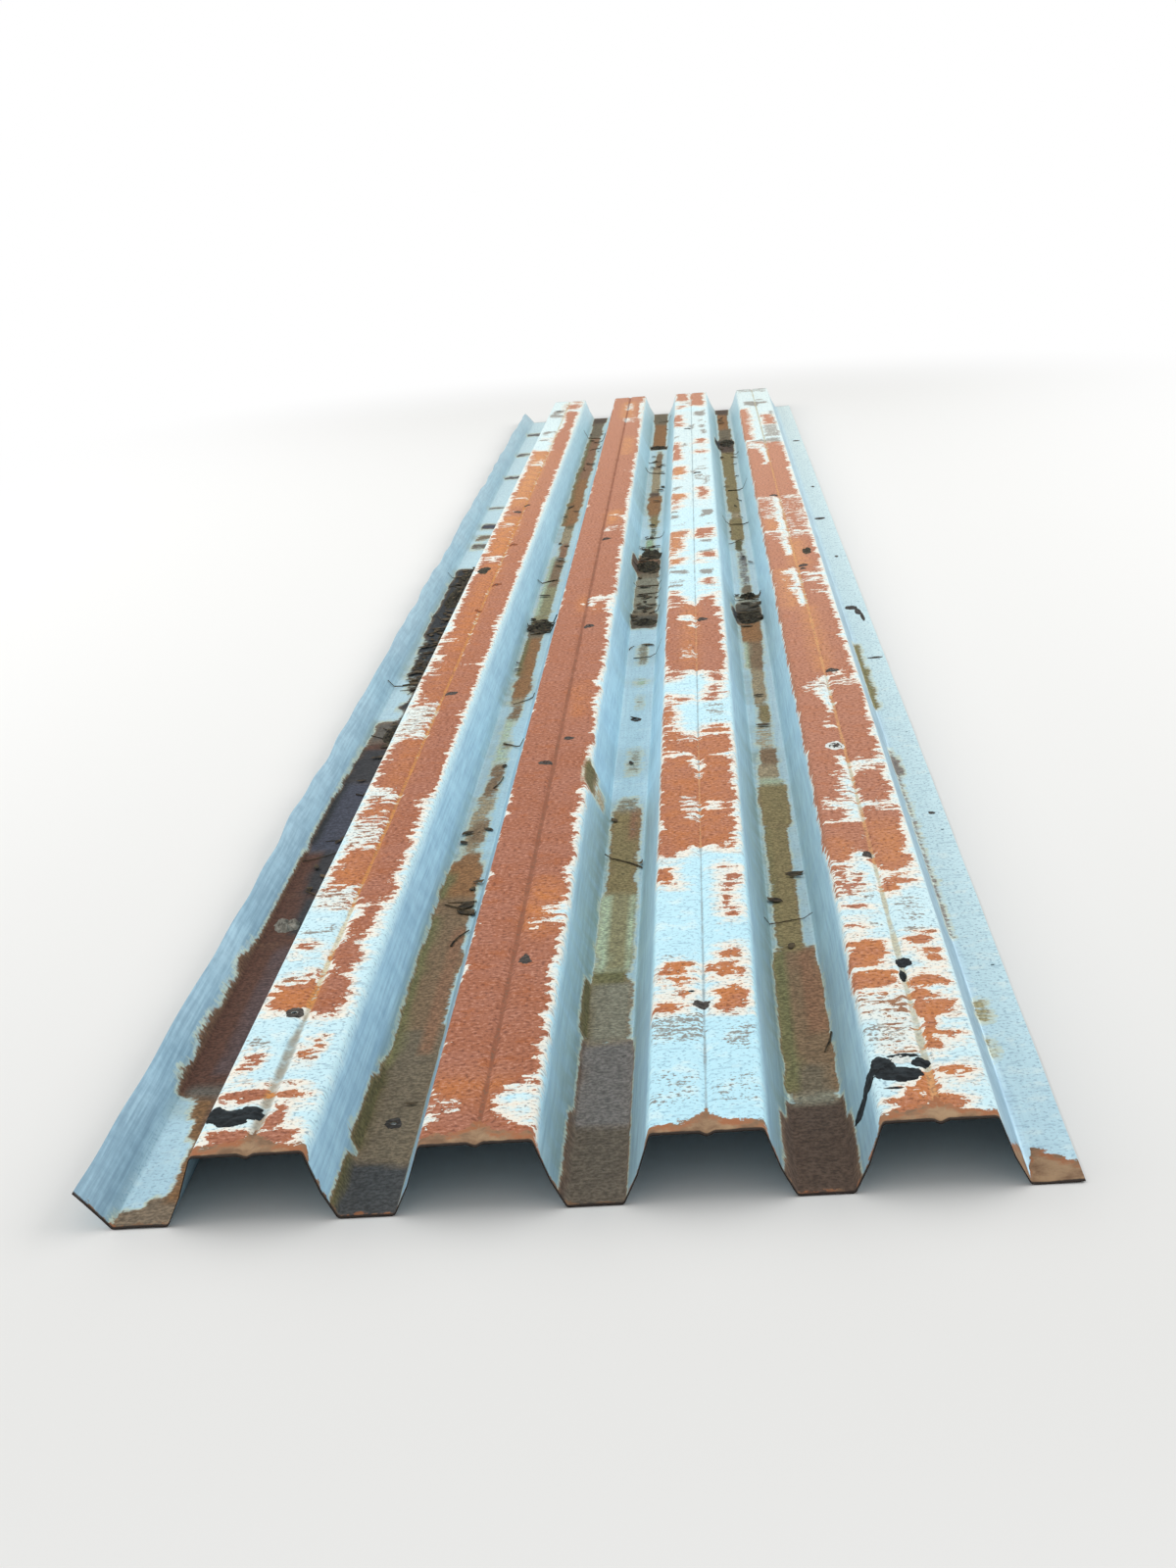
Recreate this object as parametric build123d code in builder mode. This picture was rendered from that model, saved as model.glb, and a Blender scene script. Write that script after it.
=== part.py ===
from build123d import *
import os

# Trapezoidal ribbed roofing sheet, roll-formed from one strip of galvanised steel.
# It lies flat as stored: length along Y, width along X, valleys on the floor at Z = 0,
# and the origin is under the middle of the sheet. Its near end is at -Y.

# Stock
sheet_length = 6100.0
sheet_thickness = 0.8
bend_radius = 4.0

# Section across the sheet, from the raised left lip to the flat right flange
rib_count = 4
rib_height = 65.0
crown_width = 98.0
valley_width = 50.0
web_run = 26.0
web_kink_drop = 38.0
web_kink_run = 13.0
groove_width = 14.0
groove_depth = 3.5
lip_run = 28.0
lip_rise = 36.0
flange_width = 46.0

# Screw holes through the crowns, in rows over the purlins
screw_hole_radius = 3.25
first_row_distance = 350.0
row_spacing = 475.0
screw_beside_groove = 12.0

# Each row that was screwed: row number, ribs counted from 0 at the left, and side of the groove
screw_rows = [
    (0, (0, 2), -1),
    (2, (1, 3), -1),
    (3, (0, 3), 1),
    (4, (1, 2), 1),
    (5, (0, 3), 1),
    (6, (0, 1), 1),
    (7, (0, 3), -1),
    (8, (2,), 1),
    (10, (2,), -1),
]

# Screw holes through valleys: valley counted from 0 at the left, and distance from the near end
valley_screws = [(1, 203.0), (2, 1788.0)]

# Stitching holes along the side lap, in the right flange
stitch_hole_radius = 2.4
stitch_edge_distance = 11.0
first_stitch_distance = 557.0
stitch_spacing = 523.0

# Values that follow from the ones above
pitch = crown_width + 2 * web_run + valley_width
crown_under = rib_height - sheet_thickness
rib_foot = crown_width + 2 * web_run
sheet_width = lip_run + rib_count * pitch + flange_width
left_edge = -sheet_width / 2
right_edge = sheet_width / 2
near_end = -sheet_length / 2
first_valley = left_edge + lip_run
first_foot = first_valley + valley_width
stitch_count = int((sheet_length - first_stitch_distance) / stitch_spacing) + 1


def rib_centre(rib):
    return first_foot + rib_foot / 2 + rib * pitch


def valley_centre(valley):
    return first_valley + valley_width / 2 + valley * pitch


def rib_outline(rib):
    """Points along the underside of one rib, from its left foot to its right foot."""
    centre = rib_centre(rib)
    half_crown = crown_width / 2
    kink_height = crown_under - web_kink_drop
    right_half = [
        (groove_width / 2, crown_under),
        (half_crown, crown_under),
        (half_crown + web_kink_run, kink_height),
        (half_crown + web_run, 0),
    ]
    left_half = [(-across, height) for across, height in reversed(right_half)]
    middle = [(0, crown_under - groove_depth)]
    return [(centre + across, height) for across, height in left_half + middle + right_half]


# The underside line of the whole section
underside = [(left_edge, lip_rise), (first_valley, 0)]
for rib in range(rib_count):
    underside += rib_outline(rib)
underside.append((right_edge, 0))

# Where each hole's axis meets the sheet
screw_holes = []
for row, ribs, side in screw_rows:
    along = near_end + first_row_distance + row * row_spacing
    for rib in ribs:
        screw_holes.append((rib_centre(rib) + side * screw_beside_groove, along, rib_height))
for valley, distance in valley_screws:
    screw_holes.append((valley_centre(valley), near_end + distance, sheet_thickness))

stitch_holes = []
for stitch in range(stitch_count):
    along = near_end + first_stitch_distance + stitch * stitch_spacing
    stitch_holes.append((right_edge - stitch_edge_distance, along, sheet_thickness))

# The rolled strip: the underside line thickened upwards, then drawn along the length
with BuildPart() as corrugated_sheet:
    with BuildSketch(Plane.XZ) as section:
        with BuildLine() as strip:
            FilletPolyline(*underside, radius=bend_radius)
            offset(amount=sheet_thickness, side=Side.LEFT)
        make_face()
    extrude(amount=sheet_length / 2, both=True)
    with Locations(*screw_holes):
        Hole(screw_hole_radius)
    with Locations(*stitch_holes):
        Hole(stitch_hole_radius)

os.makedirs("parts", exist_ok=True)
corrugated_sheet.part.label = "corrugated_sheet"
export_step(corrugated_sheet.part, "parts/corrugated_sheet.step")
print("sheet width", round(sheet_width, 1), "pitch", pitch, "screw holes", len(screw_holes))
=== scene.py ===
import math
import bpy
import numpy as np
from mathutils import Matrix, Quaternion, Vector
from types import SimpleNamespace


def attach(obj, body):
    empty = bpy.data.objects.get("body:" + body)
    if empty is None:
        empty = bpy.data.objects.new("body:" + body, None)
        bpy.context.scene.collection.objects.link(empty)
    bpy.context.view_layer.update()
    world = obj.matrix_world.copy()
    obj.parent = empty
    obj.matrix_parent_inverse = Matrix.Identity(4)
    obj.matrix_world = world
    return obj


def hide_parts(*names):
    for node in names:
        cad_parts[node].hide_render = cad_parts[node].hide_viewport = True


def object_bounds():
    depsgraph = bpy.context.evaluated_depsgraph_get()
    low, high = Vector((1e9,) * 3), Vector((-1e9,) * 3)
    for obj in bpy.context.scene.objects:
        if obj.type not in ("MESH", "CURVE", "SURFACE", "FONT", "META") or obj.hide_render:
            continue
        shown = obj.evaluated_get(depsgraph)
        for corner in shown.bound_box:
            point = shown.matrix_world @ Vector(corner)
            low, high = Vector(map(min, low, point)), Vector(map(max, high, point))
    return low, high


# A used trapezoidal ribbed roofing sheet, laid flat on a pale floor. The solid gives its size and place.
# This script draws it again as one fine mesh with its dents, paints its rust, chalked zinc and silt, and
# lays tar, grime, leaf mould and litter on it as closed shapes.

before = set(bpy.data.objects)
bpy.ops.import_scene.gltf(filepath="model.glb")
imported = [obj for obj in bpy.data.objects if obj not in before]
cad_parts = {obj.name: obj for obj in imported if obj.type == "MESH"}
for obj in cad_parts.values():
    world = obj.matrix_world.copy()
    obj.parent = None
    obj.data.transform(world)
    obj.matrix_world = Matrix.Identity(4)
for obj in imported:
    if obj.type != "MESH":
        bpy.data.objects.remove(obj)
cadLow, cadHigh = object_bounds()
mm = 0.001
nearEnd = cadLow.y / mm
sheetLength = (cadHigh.y - cadLow.y) / mm
fullTurn = 2 * math.pi
print("stage 1: frame loaded, sheet", round(sheetLength), "mm long")


def hexToLinear(text):
    parts = [int(text[i:i + 2], 16) / 255 for i in (1, 3, 5)]
    return tuple(c / 12.92 if c <= 0.04045 else ((c + 0.055) / 1.055) ** 2.4 for c in parts) + (1.0,)


def addNode(tree, kind, inputs=(), out=0, **settings):
    # adds one node, sets it up, links what is a socket and returns one of its outputs;
    # inputs are a list for its first sockets, or a dictionary by number or name
    made = tree.nodes.new("ShaderNode" + kind)
    for name, value in settings.items():
        setattr(made, name, value)
    for socket, value in (inputs if isinstance(inputs, dict) else dict(enumerate(inputs))).items():
        if isinstance(value, bpy.types.NodeSocket):
            tree.links.new(value, made.inputs[socket])
        else:
            made.inputs[socket].default_value = value
    return made.outputs[out] if made.outputs else None


def newMaterial(name):
    made = bpy.data.materials.new(name)
    made.use_nodes = True
    made.node_tree.nodes.clear()
    return made, made.node_tree


def ripple(y, lengths, phase):
    # a smooth uneven wave of about -1 to 1 along the sheet; another phase shifts each length differently
    waves = [np.sin(fullTurn * y / length + phase * (3.1 + k)) for k, length in enumerate(lengths)]
    return sum(waves) / len(waves)


bays = {
    "waves": 6,
    "lengths": (0.7, 1.8),      # shortest and longest wave, as shares of the size of a bay
    "swing": 2.4,               # how far the waves together reach, so that the field stays near -1 to 1
}


def sway(u, y, size, seed):
    # a smooth uneven field of about -1 to 1 over the sheet, with bays of about this size in mm
    draw = np.random.default_rng(seed)
    shortest, longest = bays["lengths"]
    total = 0
    for wave in range(bays["waves"]):
        turn, start, length = draw.uniform((0, 0, shortest * size), (math.pi, fullTurn, longest * size))
        total = total + np.sin(fullTurn * (u * math.cos(turn) + y * math.sin(turn)) / length + start)
    return total / bays["swing"]


def boxDepth(u, y, box, endWeight, rounding):
    # how deep each point lies inside a box with rounded corners, in mm, and below 0 outside it
    across = np.minimum(u - box[0], box[1] - u)
    along = endWeight * np.minimum(y - box[2], box[3] - y)
    return np.minimum(across, along) - rounding * np.log1p(np.exp(-np.abs(across - along) / rounding))


def softBox(u, y, box, edges):
    # 1 inside a box and 0 outside it, with soft sides and soft ends of these widths in mm
    side = np.clip(0.5 + np.minimum(u - box[0], box[1] - u) / edges[0], 0, 1)
    return side * np.clip(0.5 + np.minimum(y - box[2], box[3] - y) / edges[1], 0, 1)


def makeMesh(name, points, faces, sharpAngle):
    mesh = bpy.data.meshes.new(name)
    mesh.from_pydata(points.tolist(), [], faces)
    mesh.validate()
    mesh.shade_smooth()
    mesh.set_sharp_from_angle(angle=math.radians(sharpAngle))
    made = bpy.data.objects.new(name, mesh)
    bpy.context.scene.collection.objects.link(made)
    return made


# The rolled section, in mm: the same sizes as the solid
section = {
    "lipRun": 28.0,
    "lipRise": 36.0,
    "ribs": 4,
    "ribHeight": 65.0,
    "crownWidth": 98.0,
    "valleyWidth": 50.0,
    "webRun": 26.0,
    "kinkDrop": 38.0,
    "kinkRun": 13.0,
    "grooveWidth": 14.0,
    "grooveDepth": 3.5,
    "thickness": 0.8,
    "bendRadius": 4.0,
    "flatStep": 7.6,        # widest mesh cell on a level run
    "webStep": 12.5,        # and on a web
    "levelRise": 4.0,       # a run that rises less than this is level
    "arcStep": 26.0,        # degrees of bend in one mesh cell
    "plainBend": 12.0,      # degrees; a gentler bend stays a corner
    "rows": 332,            # mesh rows along the sheet
    "evenRows": 0.55,       # share of their spacing that is even; the rest grows away from the near end
    "sharpAngle": 50,
}
leftEdge = cadLow.x / mm
rightEdge = cadHigh.x / mm
firstValley = leftEdge + section["lipRun"]
ribFoot = section["crownWidth"] + 2 * section["webRun"]
pitch = ribFoot + section["valleyWidth"]
firstRib = firstValley + section["valleyWidth"] + ribFoot / 2
ribCentres = [firstRib + rib * pitch for rib in range(section["ribs"])]
valleyCentres = [firstValley + section["valleyWidth"] / 2 + rib * pitch for rib in range(section["ribs"])]
flangeFoot = ribCentres[-1] + ribFoot / 2
flangeRun = rightEdge - flangeFoot

# The holes left by the screws, in mm: the same as in the solid
holes = {
    "screwRadius": 3.25,
    "firstRow": 350.0,
    "rowSpacing": 475.0,
    "besideGroove": 12.0,
    # row, ribs counted from 0 at the left, side of the groove
    "screwed": [(0, (0, 2), -1), (2, (1, 3), -1), (3, (0, 3), 1), (4, (1, 2), 1), (5, (0, 3), 1),
                (6, (0, 1), 1), (7, (0, 3), -1), (8, (2,), 1), (10, (2,), -1)],
    "inValleys": [(1, 203.0), (2, 1788.0)],
    "stitchRadius": 2.4,
    "stitchFromEdge": 11.0,
    "firstStitch": 557.0,
    "stitchSpacing": 523.0,
    "sides": 16,            # corners round one hole
    "margin": (0.4, 1.0),   # least metal left across and along between a hole and the mesh cells round it
    "levelSlope": 0.02,     # holes lie only between columns whose metal leans less than this
}


def sectionCorners(p):
    # the sharp corners of the underside, from the left lip to the right flange
    top = p["ribHeight"] - p["thickness"]
    half = p["crownWidth"] / 2
    flank = [(p["grooveWidth"] / 2, top), (half, top), (half + p["kinkRun"], top - p["kinkDrop"])]
    flank.append((half + p["webRun"], 0.0))
    corners = [(leftEdge, p["lipRise"]), (firstValley, 0.0)]
    for centre in ribCentres:
        corners += [(centre - across, height) for across, height in reversed(flank)]
        corners.append((centre, top - p["grooveDepth"]))
        corners += [(centre + across, height) for across, height in flank]
    return [Vector(corner) for corner in corners + [(rightEdge, 0.0)]]


def bendArc(before, corner, after, p):
    # a corner of the section as a short arc, where it bends enough to need one
    into, away = (corner - before).normalized(), (after - corner).normalized()
    clockwise = into.angle_signed(away)
    if abs(clockwise) < math.radians(p["plainBend"]):
        return [corner]
    start = corner - into * p["bendRadius"] * math.tan(abs(clockwise) / 2)
    side = -1 if clockwise > 0 else 1
    middle = start + Vector((-into.y, into.x)) * side * p["bendRadius"]
    steps = max(1, round(math.degrees(abs(clockwise)) / p["arcStep"]))
    spoke = start - middle
    arc = []
    for step in range(steps + 1):
        angle = -clockwise * step / steps
        c, s = math.cos(angle), math.sin(angle)
        arc.append(middle + Vector((c * spoke.x - s * spoke.y, s * spoke.x + c * spoke.y)))
    return arc


def walkSection(p):
    # the underside as points with outward normals: bends are arcs and flat runs are divided
    corners = sectionCorners(p)
    bends = [bendArc(*three, p) for three in zip(corners, corners[1:], corners[2:])]
    runs = [[corners[0]]] + bends + [[corners[-1]]]
    points = list(runs[0])
    for bend, following in zip(runs, runs[1:]):
        first, last = bend[-1], following[0]
        level = abs(last.y - first.y) < p["levelRise"]
        cells = math.ceil((last - first).length / (p["flatStep"] if level else p["webStep"]))
        points += [first.lerp(last, cell / cells) for cell in range(1, cells)]
        points += following
    points = np.array([tuple(point) for point in points])
    steps = np.diff(points, axis=0)
    steps /= np.linalg.norm(steps, axis=1)[:, None]
    along = np.vstack([steps[:1], steps]) + np.vstack([steps, steps[-1:]])
    along /= np.linalg.norm(along, axis=1)[:, None]
    # an outward normal on a bend is longer, so that the skin keeps its thickness
    stretch = 1 / np.sum(along * np.vstack([steps, steps[-1:]]), axis=1)
    return points, np.stack([-along[:, 1], along[:, 0]], axis=1) * stretch[:, None]


under, outward = walkSection(section)
columns = len(under)
developed = np.concatenate([[0], np.cumsum(np.linalg.norm(np.diff(under, axis=0), axis=1))])
rowShare = np.linspace(0, 1, section["rows"] + 1)
rowsAlong = sheetLength * (section["evenRows"] * rowShare + (1 - section["evenRows"]) * rowShare ** 2)


def nearestOf(centres):
    # which rib or valley each column belongs to, and how far from its middle it lies along the metal
    centres = np.array(centres)
    which = np.argmin(np.abs(under[:, :1] - centres[None, :]), axis=1)
    middles = np.interp(centres, under[:, 0], developed)
    return which, developed - middles[which]


ribOf, fromGroove = nearestOf(ribCentres)
valleyOf, fromValley = nearestOf(valleyCentres)
height = under[:, 1]

# How far the metal strays from its rolled shape, in mm: how far at most, the lengths of the waves along the
# sheet, and where the waves start
dents = {
    "web": (0.7, (640, 390, 170), 0.0),
    "crown": (0.6, (520, 230, 120), 0.0),
    "valley": (0.9, (700, 310), 0.6),
    "lipSideways": (3.2, (1300, 610, 240), 0.4),
    "lipUp": (3.5, (900, 420, 210), 1.9),
    "flange": (1.6, (1500, 480, 260), 2.6),
    "nextRib": 1.7,             # each rib's waves start this much later
    "lipCurve": 1.6,            # the lip strays mostly at its tip, the flange mostly at its edge
    "flangeCurve": 2.0,
    "knock": {"rib": 1, "from": 1150.0, "deepest": 1285.0, "to": 1345.0, "down": 8.0, "inward": 4.5,
              "reach": 26.0, "spread": 2.5, "curve": 1.4},
    "crease": {"rib": 1, "at": 1318.0, "down": 1.5, "reach": 9.0},
    "endBurr": 1.2,             # the cut ends turn down a little
    "endReach": 9.0,
}


def strayFrom(d):
    # sideways and upward shift of every column on every row
    y = rowsAlong[:, None]

    def wave(name, later=0.0):
        most, lengths, start = d[name]
        return most * ripple(y, lengths, start + later)

    def upwardWave(name, later=0.0):
        most, lengths, start = d[name]
        return most * (0.5 + 0.5 * ripple(y, lengths, start + later))

    half = section["crownWidth"] / 2
    webLength = math.hypot(section["webRun"], section["ribHeight"])
    side = np.sign(fromGroove)
    onCrown = np.cos(math.pi / 2 * np.clip(fromGroove / half, -1, 1))
    onWeb = np.sin(math.pi * np.clip((np.abs(fromGroove) - half) / webLength, 0, 1))
    onValley = np.cos(math.pi / 2 * np.clip(fromValley / section["valleyWidth"] * 2, -1, 1))
    onLip = np.clip((firstValley - under[:, 0]) / section["lipRun"], 0, 1) ** d["lipCurve"]
    onFlange = np.clip((under[:, 0] - flangeFoot) / flangeRun, 0, 1) ** d["flangeCurve"]
    later = d["nextRib"] * ribOf
    sideways = onWeb * side * wave("web", later + side) - onLip * wave("lipSideways")
    upward = onCrown * wave("crown", later) + onValley * upwardWave("valley", valleyOf)
    upward = upward + onLip * wave("lipUp") + onFlange * upwardWave("flange")
    knock = d["knock"]
    rise = np.interp(y, (knock["from"], knock["deepest"], knock["to"]), (0, 1, 0)) ** knock["curve"]
    spread = np.exp(-knock["spread"] * (np.abs(fromGroove - half) / knock["reach"]) ** 2)
    spread = spread * (ribOf == knock["rib"])
    upward = upward - knock["down"] * rise * spread
    sideways = sideways - knock["inward"] * rise * spread
    crease = d["crease"]
    dip = crease["down"] * np.exp(-(((y - crease["at"]) / crease["reach"]) ** 2))
    upward = upward - dip * (np.abs(fromGroove) < half) * (ribOf == crease["rib"])
    fromEnd = np.minimum(y, sheetLength - y)
    burr = d["endBurr"] * np.clip(1 - fromEnd / d["endReach"], 0, 1) ** 2
    return sideways, upward - burr * np.clip(height / section["ribHeight"], 0, 1)


sideways, upward = strayFrom(dents)


def skinPoints(lift):
    # every row and column of one face of the sheet, in metres; lift is the distance above the underside in mm
    x = under[:, 0] + outward[:, 0] * lift + sideways
    z = np.maximum(under[:, 1] + outward[:, 1] * lift + upward, lift)
    y = np.broadcast_to(nearEnd + rowsAlong[:, None], x.shape)
    return np.stack([x, y, z], axis=2) * mm


topSkin = skinPoints(section["thickness"])
lowSkin = skinPoints(0.0)


def onTop(across, along, lift=0.0):
    # a point of the upper face from its place along the metal and from the near end, in mm
    column = np.interp(across, developed, np.arange(columns))
    row = np.interp(along, rowsAlong, np.arange(len(rowsAlong)))
    c, r = np.minimum(column.astype(int), columns - 2), np.minimum(row.astype(int), len(rowsAlong) - 2)
    cf, rf = (column - c)[..., None], (row - r)[..., None]
    near = topSkin[r, c] * (1 - cf) + topSkin[r, c + 1] * cf
    far = topSkin[r + 1, c] * (1 - cf) + topSkin[r + 1, c + 1] * cf
    normal = outward[c] * (1 - cf) + outward[c + 1] * cf
    up = np.stack([normal[..., 0], np.zeros_like(normal[..., 0]), normal[..., 1]], axis=-1)
    return near * (1 - rf) + far * rf + up * np.asarray(lift)[..., None] * mm


def holePlaces(h):
    # x across, distance from the near end and radius of each hole
    places = []
    for row, ribs, side in h["screwed"]:
        for rib in ribs:
            along = h["firstRow"] + row * h["rowSpacing"]
            places.append((ribCentres[rib] + side * h["besideGroove"], along, h["screwRadius"]))
    for valley, along in h["inValleys"]:
        places.append((valleyCentres[valley], along, h["screwRadius"]))
    stitches = int((sheetLength - h["firstStitch"]) / h["stitchSpacing"]) + 1
    for stitch in range(stitches):
        along = h["firstStitch"] + stitch * h["stitchSpacing"]
        places.append((rightEdge - h["stitchFromEdge"], along, h["stitchRadius"]))
    return places


def fromSmallestTurn(ring, centre, points):
    # a ring of points, counter-clockwise, started anew where its turn round the centre is least, and closed
    turn = [math.atan2(points[i][1] - centre[1], points[i][0] - centre[0]) % fullTurn for i in ring]
    first = turn.index(min(turn))
    ring, turn = ring[first:] + ring[:first], turn[first:] + turn[:first]
    return ring + ring[:1], turn + [turn[0] + fullTurn]


def bridge(outer, inner, centre, points):
    # triangles between two rings round one centre, both counter-clockwise seen from above
    outer, turn = fromSmallestTurn(outer, centre, points)
    inner, spin = fromSmallestTurn(inner, centre, points)
    faces, a, b = [], 0, 0
    while a < len(outer) - 1 or b < len(inner) - 1:
        if b == len(inner) - 1 or (a < len(outer) - 1 and turn[a + 1] <= spin[b + 1]):
            faces.append((outer[a], outer[a + 1], inner[b]))
            a += 1
        else:
            faces.append((outer[a], inner[b + 1], inner[b]))
            b += 1
    return faces


def buildSheet():
    # one closed mesh: upper face, underside with every second row, the cut edges and the hole walls
    rows = len(rowsAlong)
    lowRows = list(range(0, rows, 2))
    points = [tuple(p) for p in topSkin.reshape(-1, 3)] + [tuple(p) for p in lowSkin[::2].reshape(-1, 3)]
    spots = [(developed[c], rowsAlong[r], 1) for r in range(rows) for c in range(columns)]
    spots += [(developed[c], rowsAlong[r], -1) for r in lowRows for c in range(columns)]

    def top(r, c):
        return r * columns + c

    def low(r, c):
        return rows * columns + (r // 2) * columns + c

    cut = np.zeros((rows - 1, columns - 1), bool)
    faces = []
    flat = np.where(np.abs(outward[:, 0]) < holes["levelSlope"])[0]
    for x, along, radius in holePlaces(holes):
        wide, deep = radius + holes["margin"][0], radius + holes["margin"][1]
        left = max(c for c in flat if under[c, 0] < x - wide)
        right = min(c for c in flat if under[c, 0] > x + wide)
        near = max(r for r in lowRows if rowsAlong[r] < along - deep)
        far = min(r for r in lowRows if rowsAlong[r] > along + deep)
        cut[near:far, left:right] = True
        across = np.interp(x, under[:, 0], developed)
        spin = [fullTurn * k / holes["sides"] for k in range(holes["sides"])]
        ringAcross = np.array([across + radius * math.cos(a) for a in spin])
        ringAlong = np.array([along + radius * math.sin(a) for a in spin])
        rings = []
        for skin, lift in ((1, 0.0), (-1, -section["thickness"])):
            rings.append(list(range(len(points), len(points) + len(spin))))
            points += [tuple(p) for p in onTop(ringAcross, ringAlong, lift)]
            spots += [(ringAcross[k], ringAlong[k], skin) for k in range(len(spin))]
        centre = (x * mm, (nearEnd + along) * mm)
        for node, step, ring in ((top, 1, rings[0]), (low, 2, rings[1])):
            loop = [node(near, c) for c in range(left, right)]
            loop += [node(r, right) for r in range(near, far, step)]
            loop += [node(far, c) for c in range(right, left, -1)]
            loop += [node(r, left) for r in range(far, near, -step)]
            ringFaces = bridge(loop, ring, centre, points)
            faces += ringFaces if step == 1 else [face[::-1] for face in ringFaces]
        for k in range(len(spin)):
            after = (k + 1) % len(spin)
            faces.append((rings[0][k], rings[0][after], rings[1][after], rings[1][k]))
    for r in range(rows - 1):
        for c in range(columns - 1):
            if not cut[r, c]:
                faces.append((top(r, c), top(r, c + 1), top(r + 1, c + 1), top(r + 1, c)))
            if r % 2 == 0 and not cut[r, c]:
                faces.append((low(r, c), low(r + 2, c), low(r + 2, c + 1), low(r, c + 1)))
    for c in range(columns - 1):
        faces.append((top(0, c + 1), top(0, c), low(0, c), low(0, c + 1)))
        faces.append((top(rows - 1, c), top(rows - 1, c + 1), low(rows - 1, c + 1), low(rows - 1, c)))
    last = columns - 1
    for r in lowRows[:-1]:
        faces.append((top(r, 0), top(r + 1, 0), top(r + 2, 0), low(r + 2, 0), low(r, 0)))
        faces.append((top(r + 2, last), top(r + 1, last), top(r, last), low(r, last), low(r + 2, last)))
    return makeMesh("ribbed_sheet", np.array(points), faces, section["sharpAngle"]), np.array(spots)


sheet, sheetSpots = buildSheet()
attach(sheet, "root")
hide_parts("corrugated_sheet")
triangles = sum(len(face.vertices) - 2 for face in sheet.data.polygons)
print("stage 2: sheet mesh with", columns, "columns and", triangles, "triangles")

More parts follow.
